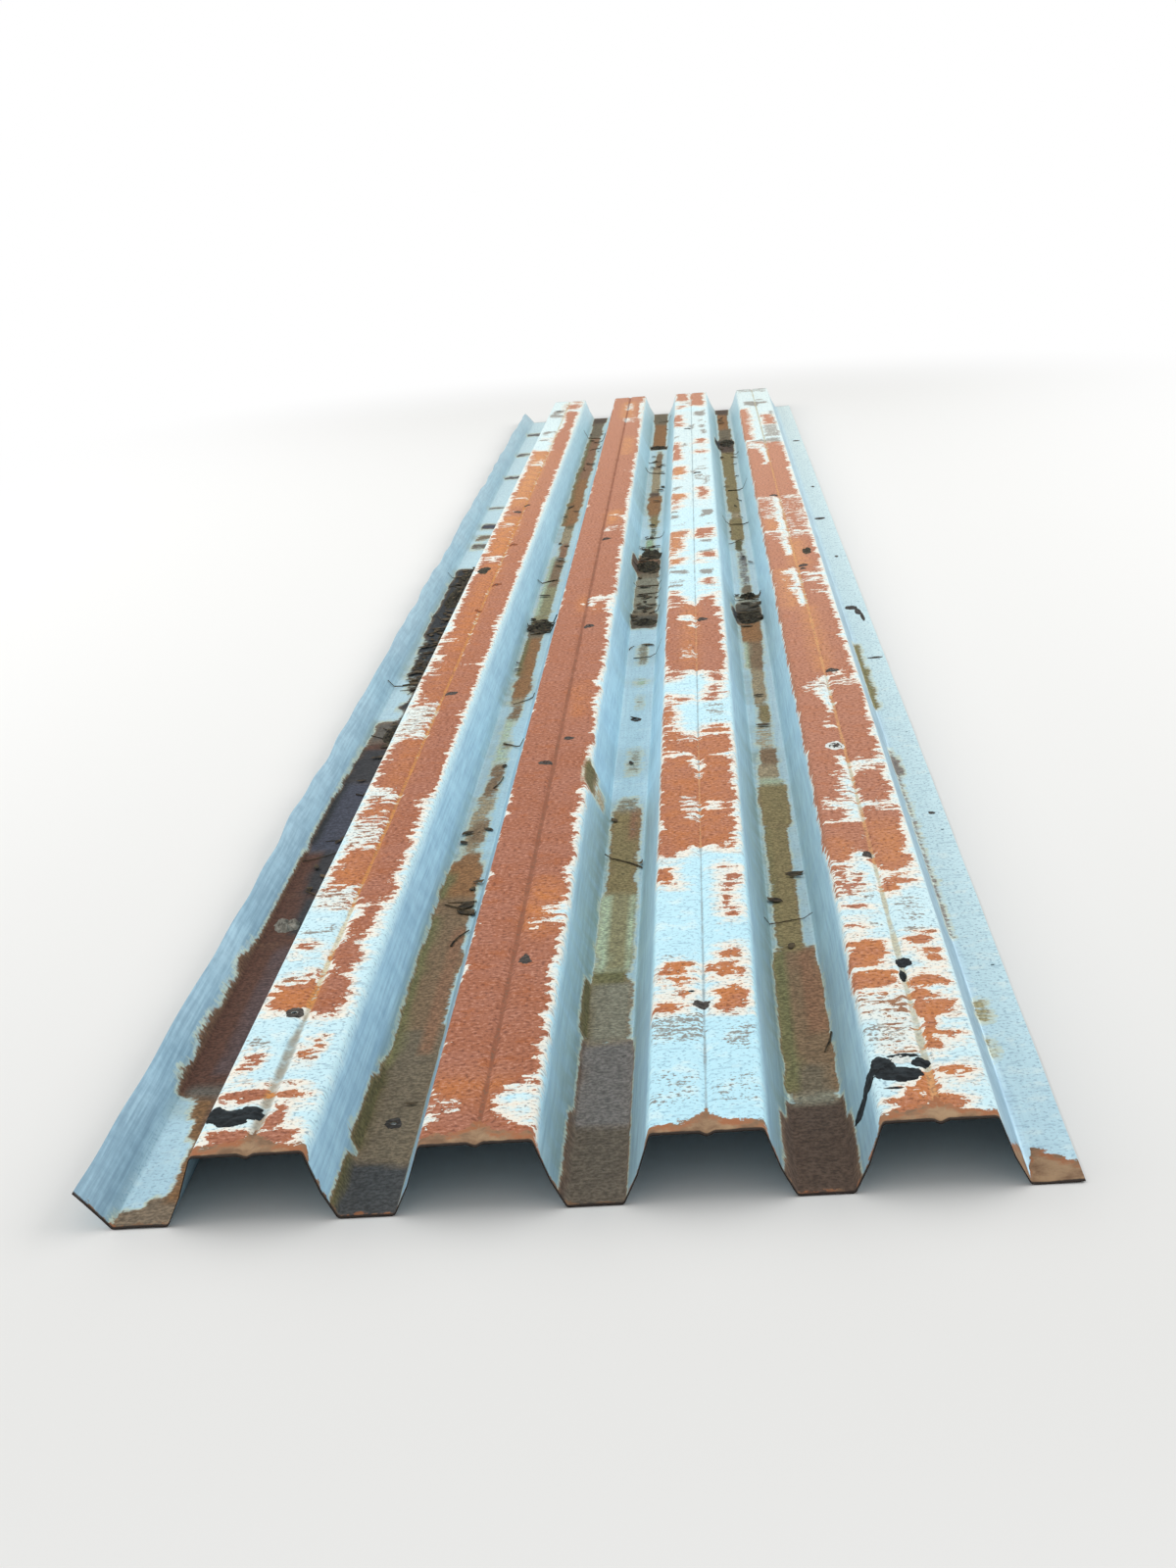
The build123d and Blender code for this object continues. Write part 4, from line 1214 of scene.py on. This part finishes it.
def shell(across, along, size, ragged, seed, hole=0.0):
    # a closed lump that follows the sheet, as points and faces; with a hole it is a ring
    draw = np.random.default_rng(seed)
    spokes, rings = lump["spokes"], lump["rings"]
    spin = np.linspace(0, fullTurn, spokes, endpoint=False)
    outline = 1
    for lobes in lump["lobes"]:
        strength = ragged * draw.uniform(*lump["lobeSize"]) / lobes ** lump["lobeFade"]
        outline = outline + strength * np.sin(lobes * spin + draw.uniform(0, 6.3))
    share = np.linspace(0, 1, rings + 1)[:, None]
    if hole == 0:
        share[0] = lump["centre"]
    wide = hole + (size[0] * outline - hole) * share
    far = hole + (size[1] * outline - hole) * share
    u, y = across + wide * np.cos(spin), along + far * np.sin(spin)
    level, large, small = lump["bumpRise"]
    bumps = level + large * sway(u, y, lump["bumpSize"][0] * size[0], seed)
    bumps = bumps + small * sway(u, y, lump["bumpSize"][1] * size[0], seed + 1)
    edge = np.minimum(1, lump["edgeSlope"] * (1 - share))
    lift = size[2] * np.clip(bumps, *lump["bumpLimits"]) * np.sqrt(edge) - lump["sunk"] * (1 - edge)
    top = onTop(u, y, lift).reshape(-1, 3)
    low = onTop(u, y, np.full(u.shape, -lump["sunk"] - lump["bottom"])).reshape(-1, 3)
    count, faces = len(top), []
    for k in range(spokes):
        after = (k + 1) % spokes
        for ring in range(rings):
            a, b = ring * spokes + k, ring * spokes + after
            c, d = b + spokes, a + spokes
            faces += [(a, d, c, b), (count + a, count + b, count + c, count + d)]
        rim = rings * spokes
        faces.append((rim + k, count + rim + k, count + rim + after, rim + after))
        if hole:
            faces.append((k, after, count + after, count + k))
    if not hole:
        faces += [tuple(range(spokes)), tuple(range(count + spokes - 1, count - 1, -1))]
    return np.vstack([top, low]), faces


def lumps(table, middles, firstSeed):
    # one lump for each line of a table
    made = []
    for number, (which, u, y, *size, ragged) in enumerate(table):
        made.append(shell(middles[which] + u, y, size, ragged, firstSeed + number))
    return made


def addShells(name, shells, paint):
    # joins shells into one piece that rides with the sheet
    points, faces, count = [], [], 0
    for some, theirs in shells:
        faces += [tuple(count + i for i in face) for face in theirs]
        points.append(some)
        count += len(some)
    made = makeMesh(name, np.vstack(points), faces, lump["sharpAngle"])
    made.data.materials.append(paint)
    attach(made, "root")


# What dirt has in common: grains of two tones, with a low specular, because it is matt and dusty
crust = {
    "detail": 4.0,
    "roughness": 0.6,
    "mix": (0.4, 0.64),
    "bump": 0.7,
    "specular": 0.15,
}


def paintCrust(name, paint):
    # a matt crust of two tones; the size of its grains and its relief are in mm
    made, tree = newMaterial(name)
    place = addNode(tree, "NewGeometry")
    grain = addNode(tree, "TexNoise", {"Vector": place, "Scale": 1000 / paint["grain"],
                                       "Detail": crust["detail"], "Roughness": crust["roughness"]})
    share = addNode(tree, "MapRange", (grain, *crust["mix"]))
    tones = {0: share, 6: hexToLinear(paint["dark"]), 7: hexToLinear(paint["pale"])}
    colour = addNode(tree, "Mix", tones, 2, data_type="RGBA")
    relief = {"Height": grain, "Strength": crust["bump"], "Distance": paint["relief"] * mm}
    bump = addNode(tree, "Bump", relief)
    shader = addNode(tree, "BsdfPrincipled", {"Base Color": colour, "Roughness": paint["rough"],
                                              "Specular IOR Level": crust["specular"], "Normal": bump})
    addNode(tree, "OutputMaterial", {"Surface": shader})
    return made


# Bitumen sealant, brushed on warm at two fixings: it dried black and dull, with torn edges
bitumen = {
    "paint": {"dark": "#12171a", "pale": "#2b3236", "grain": 9.0, "relief": 0.8, "rough": 0.9},
    "patches": [
        (0, -28, 82, 20, 22, 1.0, 0.1), (0, -12, 92, 14, 18, 0.9, 0.14), (0, -43, 90, 10, 20, 0.8, 0.14),
        (3, -27, 105, 23, 19, 1.0, 0.1), (3, -40, 124, 13, 25, 1.0, 0.12), (3, -5, 132, 10, 13, 0.9, 0.16),
        (3, -20, 148, 16, 6, 0.8, 0.14), (3, -60, 116, 17, 18, 0.8, 0.12), (3, -84, 108, 19, 13, 0.6, 0.16),
        (3, -1, 366, 5, 17, 0.7, 0.14), (3, 3, 403, 10, 16, 0.8, 0.16), (3, -34, 74, 9, 3, 0.4, 0.2),
    ],
    "seed": 100,
}
tar = paintCrust("dried bitumen sealant", bitumen["paint"])
addShells("bitumen_patches", lumps(bitumen["patches"], ribAcross, bitumen["seed"]), tar)

# Marks of the washers: grime and rubber dust caked round the screw holes and where loose screws lay, matt and
# nearly black. At one hole and one more spot they are chalky zinc salts, at two holes and one more spot
# flaking scabs of rust.
marks = {
    "grime": {"dark": "#34322f", "pale": "#5c5651", "grain": 5.0, "relief": 0.5, "rough": 0.85},
    "salts": {"dark": "#c9d3d0", "pale": "#eef2ee", "grain": 5.0, "relief": 0.3, "rough": 0.8},
    "scab": {"dark": "#74412a", "pale": "#a4643f", "grain": 5.0, "relief": 0.5, "rough": 0.9},
    # holes by rib and row
    "chalky": [(3, 2)],
    "clean": [(2, 0)],
    "rusty": [(0, 5), (0, 6)],
    "ringSize": (10.5, 14.0, 0.6),
    "chalkSize": (15.0, 24.0, 0.4),
    "valleySize": (9.0, 14.0, 0.6),
    "ringRagged": 0.14,
    "ringShift": 0.4,       # mm, how much farther from the groove than its hole a ring lies
    "loose": [
        (0, 5, 3773, 9, 14, 0.9, 0.2), (0, -24, 5800, 8, 14, 0.9, 0.2), (1, 14, 473, 8, 14, 0.5, 0.3),
        # the dark mark on rib 1 at 1432 mm is partly grime and partly the painted shade of a hole that the
        # sheet doesn't have
        (1, 15, 1432, 8, 12, 0.6, 0.2), (3, -6, 784, 7, 14, 0.7, 0.2), (3, 10, 2690, 7, 10, 0.8, 0.2),
        (2, -2, 313, 10, 13, 0.9, 0.12),
    ],
    "looseSalts": [(3, -23, 139, 11, 11, 0.9, 0.12)],
    "looseScabs": [(0, -3, 2467, 9, 12, 0.8, 0.2)],
    # on the flange: mm from its edge and from the near end, then the sizes
    "flange": [
        (28, 2592, 13, 23, 0.5, 0.1), (18, 2550, 7, 34, 0.4, 0.1), (13, 2500, 4, 46, 0.4, 0.1),
        (17, 2138, 15, 8, 0.5, 0.12), (28, 3692, 13, 19, 0.6, 0.12), (18, 5165, 12, 13, 0.6, 0.12),
        (17, 1160, 5, 8, 0.3, 0.2), (21, 3165, 4, 14, 0.3, 0.2), (18, 4212, 5, 14, 0.3, 0.2),
    ],
    "seeds": {"rings": 200, "chalky": 400, "loose": 300, "valleys": 340, "flange": 350, "salts": 401,
              "scabs": 300},
}


def washerMarks(m):
    # the shells of grime, zinc salts and rust scabs
    grime, salts, scabs = [], [], []
    seeds = m["seeds"]
    clear = holes["screwRadius"] + lump["holeGap"]
    for number, (row, ribs, side) in enumerate(holes["screwed"]):
        along = holes["firstRow"] + row * holes["rowSpacing"]
        for rib in ribs:
            if (rib, row) in m["clean"]:
                continue
            across = ribAcross[rib] + side * (holes["besideGroove"] + m["ringShift"])
            seed = seeds["rings"] + 10 * number + rib
            ring = shell(across, along, m["ringSize"], m["ringRagged"], seed, clear)
            (scabs if (rib, row) in m["rusty"] else grime).append(ring)
            if (rib, row) in m["chalky"]:
                seed = seeds["chalky"] + rib
                salts.append(shell(across, along, m["chalkSize"], m["ringRagged"], seed, clear))
    grime += lumps(m["loose"], ribAcross, seeds["loose"])
    for number, (valley, along) in enumerate(holes["inValleys"]):
        seed = seeds["valleys"] + number
        grime.append(shell(valleyAcross[valley], along, m["valleySize"], m["ringRagged"], seed, clear))
    for number, (u, y, *size, ragged) in enumerate(m["flange"]):
        grime.append(shell(developed[-1] - u, y, size, ragged, seeds["flange"] + number))
    salts += lumps(m["looseSalts"], ribAcross, seeds["salts"])
    scabs += lumps(m["looseScabs"], ribAcross, seeds["scabs"])
    return grime, salts, scabs


grimeShells, saltShells, scabShells = washerMarks(marks)
addShells("screw_grime", grimeShells, paintCrust("caked grime", marks["grime"]))
addShells("zinc_salt_rings", saltShells, paintCrust("zinc salts", marks["salts"]))
addShells("rust_scabs", scabShells, paintCrust("rust scab", marks["scab"]))

# Leaf mould: rotted leaves and silt washed together in the valleys, matt and nearly black while damp.
# One clump of pale mud dried beside it, chalky and a little cracked.
mould = {
    "paint": {"dark": "#26231f", "pale": "#57503f", "grain": 7.0, "relief": 1.2, "rough": 0.95},
    "clumpPaint": {"dark": "#6f6b62", "pale": "#a9a498", "grain": 8.0, "relief": 1.0, "rough": 0.95},
    "heaps": [
        (0, 6, 2960, 22, 120, 4.5, 0.12), (0, 10, 3160, 20, 95, 4.0, 0.14), (0, 18, 2300, 10, 90, 2.5, 0.16),
        (0, 19, 2560, 9, 110, 2.5, 0.16), (1, 4, 2590, 22, 44, 4.5, 0.14), (2, -2, 3180, 27, 62, 5.0, 0.12),
        (2, 4, 3330, 24, 70, 3.5, 0.14), (2, 2, 2570, 22, 34, 3.0, 0.14), (3, 0, 2560, 24, 70, 3.5, 0.12),
        (3, 2, 2767, 16, 22, 5.0, 0.16), (0, 14, 1780, 17, 60, 3.5, 0.14), (2, 0, 5208, 24, 44, 3.0, 0.14),
        (3, 0, 5210, 22, 80, 3.0, 0.14),
    ],
    "onCrowns": [(0, -28, 2897, 13, 44, 0.9, 0.16), (3, 27, 2886, 10, 40, 0.9, 0.16)],
    "clumps": [(0, -4, 828, 17, 23, 5.0, 0.16)],
    "seeds": {"heaps": 500, "onCrowns": 600, "clumps": 640},
}
heaps = lumps(mould["heaps"], valleyAcross, mould["seeds"]["heaps"])
heaps += lumps(mould["onCrowns"], ribAcross, mould["seeds"]["onCrowns"])
addShells("leaf_mould", heaps, paintCrust("leaf mould", mould["paint"]))
clumps = lumps(mould["clumps"], valleyAcross, mould["seeds"]["clumps"])
addShells("pale_clump", clumps, paintCrust("dried pale mud", mould["clumpPaint"]))

# Dry leaves and twigs blown into the valleys: thin, brown and curled as they dried
litter = {
    "paint": {"dark": "#2f2820", "pale": "#6d5c44", "grain": 14.0, "relief": 0.4, "rough": 0.8},
    "leafSize": (7.0, 15.0),        # half length, mm
    "leafWidth": (0.35, 0.55),      # share of the length
    "leafFold": (0.6, 3.2),         # mm, how far the sides stand up
    "leafCurl": (0.0, 3.0),         # mm, and the ends
    "leafThick": 0.4,
    "leafGap": 0.5,                 # mm above the metal
    "spine": (-1, -0.6, 0, 0.55, 1, 0.55, 0, -0.6),         # a leaf's outline: along it, and to its sides
    "sides": (0, -0.7, -1, -0.75, 0, 0.75, 1, 0.7),
    "twigSize": (30.0, 85.0),
    "twigRadius": (0.7, 1.5),
    "twigBend": 0.3,
    "twigTaper": 0.4,
    "twigGap": 0.3,
    "twigSides": 5,
    "twigSteps": 5,
    # valley, from and to across and along, leaves, twigs
    "drifts": [
        (0, -8, 28, 2080, 3300, 130, 16), (0, 4, 24, 1690, 1860, 12, 2), (1, -20, 22, 2500, 2670, 16, 3),
        (1, -24, 26, 150, 2400, 9, 4), (1, 2, 24, 836, 886, 5, 2), (2, -24, 26, 2500, 3440, 44, 7),
        (2, -24, 26, 900, 2400, 5, 3), (3, -24, 24, 2430, 2800, 22, 4), (3, -24, 24, 300, 2300, 6, 2),
        (0, -10, 26, 900, 1680, 10, 4), (2, -20, 24, 3500, 5900, 14, 6), (3, -20, 24, 2900, 5900, 18, 7),
        (1, -20, 24, 2700, 5900, 16, 6),
    ],
    "seed": 7,
}


def leafShell(across, along, size, draw, p):
    # one dry leaf: a pointed oval, folded along its rib and curled, as a thin closed shell
    turn = draw.uniform(0, fullTurn)
    spine = np.array(p["spine"])
    side = np.array(p["sides"]) * draw.uniform(*p["leafWidth"])
    fold, curl = draw.uniform(*p["leafFold"]), draw.uniform(*p["leafCurl"])
    u = across + size * (spine * math.cos(turn) - side * math.sin(turn))
    y = along + size * (spine * math.sin(turn) + side * math.cos(turn))
    lift = p["leafGap"] + fold * np.abs(side) * 2 + curl * spine ** 2
    points = np.vstack([onTop(u, y, lift + p["leafThick"]), onTop(u, y, lift)])
    count = len(spine)
    faces = [(0, 1, 7), (7, 1, 2, 6), (6, 2, 3, 5), (5, 3, 4)]
    faces += [tuple(count + i for i in reversed(face)) for face in faces]
    faces += [(k, count + k, count + (k + 1) % count, (k + 1) % count) for k in range(count)]
    return points, faces


def twigShell(across, along, length, radius, draw, p):
    # one twig: a bent tube that tapers, with closed ends
    sides, steps = p["twigSides"], p["twigSteps"]
    turn, bend = draw.uniform(0, fullTurn), draw.uniform(-p["twigBend"], p["twigBend"])
    way = np.linspace(-0.5, 0.5, steps + 1)
    u = across + length * (way * math.cos(turn) - bend * way ** 2 * math.sin(turn))
    y = along + length * (way * math.sin(turn) + bend * way ** 2 * math.cos(turn))
    line = onTop(u, y, np.full(steps + 1, radius + p["twigGap"]))
    level, up = Vector((-math.sin(turn), math.cos(turn), 0)), Vector((0, 0, 1))
    points, faces = [], []
    for k, middle in enumerate(line):
        thick = radius * mm * (1 - p["twigTaper"] * k / steps)
        for corner in range(sides):
            angle = fullTurn * corner / sides
            points.append(Vector(middle) + (level * math.cos(angle) + up * math.sin(angle)) * thick)
    for k in range(steps):
        for corner in range(sides):
            after = (corner + 1) % sides
            a, b = k * sides + corner, k * sides + after
            faces.append((a, b, b + sides, a + sides))
    faces += [tuple(range(sides - 1, -1, -1)), tuple(range(steps * sides, (steps + 1) * sides))]
    return np.array([tuple(point) for point in points]), faces


def scatter(p):
    # leaves and twigs at random places in each drift
    draw = np.random.default_rng(p["seed"])
    shells = []
    for valley, left, right, near, far, leafCount, twigCount in p["drifts"]:
        for number in range(leafCount):
            u, y = draw.uniform((left, near), (right, far))
            size = draw.uniform(*p["leafSize"])
            shells.append(leafShell(valleyAcross[valley] + u, y, size, draw, p))
        for number in range(twigCount):
            u, y = draw.uniform((left, near), (right, far))
            length, radius = draw.uniform(*p["twigSize"]), draw.uniform(*p["twigRadius"])
            shells.append(twigShell(valleyAcross[valley] + u, y, length, radius, draw, p))
    return shells


addShells("leaf_litter", scatter(litter), paintCrust("dry leaf", litter["paint"]))
print("stage 5: bitumen, grime, leaf mould and litter laid on")

# Floor, light and camera, in metres
studio = {
    "floorGrey": "#e9e9e7",
    "floorHalf": 40.0,
    "floorGap": 0.0006,         # how far under the sheet the floor lies
    "fade": (0.15, 1.8),        # how far from the sheet the floor starts to turn white, and where it is white
    "skyLevel": 0.67,
    "left": {"place": (-3.0, 0.2, 2.3), "size": (8.5, 2.4), "power": 105.0},
    "right": {"place": (3.0, 0.2, 2.3), "size": (8.5, 2.4), "power": 92.0},
}
view = {
    "place": (0.148, -4.959, 0.888),    # where the photograph was taken from
    "aim": (-0.046, -1.635, 0.0),
    "roll": -4.23,                      # degrees
    "lens": 55.1,
    "clip": (0.05, 200),
}


def seenDirectly(tree):
    # 1 for what the camera sees, also in a shine or through glass, and 0 for light that bounces
    rays = addNode(tree, "LightPath").node
    seen = rays.outputs["Is Camera Ray"]
    for kind in ("Is Glossy Ray", "Is Transmission Ray"):
        seen = addNode(tree, "Math", (seen, rays.outputs[kind]), operation="MAXIMUM")
    return seen


def buildFloor(s):
    half, level = s["floorHalf"], -s["floorGap"]
    corners = np.array([(x * half, y * half, level) for x, y in ((-1, -1), (1, -1), (1, 1), (-1, 1))])
    floor = makeMesh("studio_floor", corners, [(0, 1, 2, 3)], lump["sharpAngle"])
    paper, tree = newMaterial("pale floor paper")
    split = addNode(tree, "SeparateXYZ", (addNode(tree, "NewGeometry"),)).node
    squares = []
    for axis, edge in ((0, rightEdge * mm), (1, sheetLength / 2 * mm)):
        beyond = addNode(tree, "Math", (split.outputs[axis],), operation="ABSOLUTE")
        for other, operation in ((edge, "SUBTRACT"), (0.0, "MAXIMUM"), (2.0, "POWER")):
            beyond = addNode(tree, "Math", (beyond, other), operation=operation)
        squares.append(beyond)
    away = addNode(tree, "Math", squares, operation="ADD")
    away = addNode(tree, "Math", (away,), operation="SQRT")
    white = addNode(tree, "MapRange", (away, *s["fade"], 0.0, 1.0), interpolation_type="SMOOTHSTEP")
    white = addNode(tree, "Math", (white, seenDirectly(tree)), operation="MULTIPLY")
    matt = addNode(tree, "BsdfDiffuse", {"Color": hexToLinear(s["floorGrey"])})
    glow = addNode(tree, "Emission", {"Color": (1, 1, 1, 1), "Strength": 1.0})
    both = addNode(tree, "MixShader", (white, matt, glow))
    addNode(tree, "OutputMaterial", {"Surface": both})
    floor.data.materials.append(paper)


def buildSky(s):
    # white where the camera sees it, and dimmer for the light it gives
    sky = bpy.data.worlds.new("studio sky")
    bpy.context.scene.world = sky
    sky.use_nodes = True
    tree = sky.node_tree
    tree.nodes.clear()
    level = addNode(tree, "MapRange", {0: seenDirectly(tree), 3: s["skyLevel"], 4: 1.0})
    light = addNode(tree, "Background", {"Color": (1, 1, 1, 1), "Strength": level})
    addNode(tree, "OutputWorld", {"Surface": light})


def addSoftbox(name, box):
    lamp = bpy.data.lights.new(name, "AREA")
    lamp.shape = "RECTANGLE"
    lamp.size, lamp.size_y = box["size"]
    lamp.energy = box["power"]
    made = bpy.data.objects.new(name, lamp)
    bpy.context.scene.collection.objects.link(made)
    made.location = box["place"]
    made.rotation_mode = "QUATERNION"
    made.rotation_quaternion = (-Vector(box["place"])).to_track_quat("-Z", "Y")


def addCamera(v):
    camera = bpy.data.cameras.new("photo view")
    camera.lens = v["lens"]
    camera.clip_start, camera.clip_end = v["clip"]
    made = bpy.data.objects.new("photo view", camera)
    bpy.context.scene.collection.objects.link(made)
    made.location = v["place"]
    made.rotation_mode = "QUATERNION"
    ahead = Vector(v["aim"]) - Vector(v["place"])
    tilt = Quaternion((0, 0, 1), math.radians(v["roll"]))
    made.rotation_quaternion = ahead.to_track_quat("-Z", "Y") @ tilt
    bpy.context.scene.camera = made


buildFloor(studio)
buildSky(studio)
addSoftbox("left softbox", studio["left"])
addSoftbox("right softbox", studio["right"])
addCamera(view)
bpy.context.scene.view_settings.view_transform = "Standard"
print("stage 6: floor, light and camera")
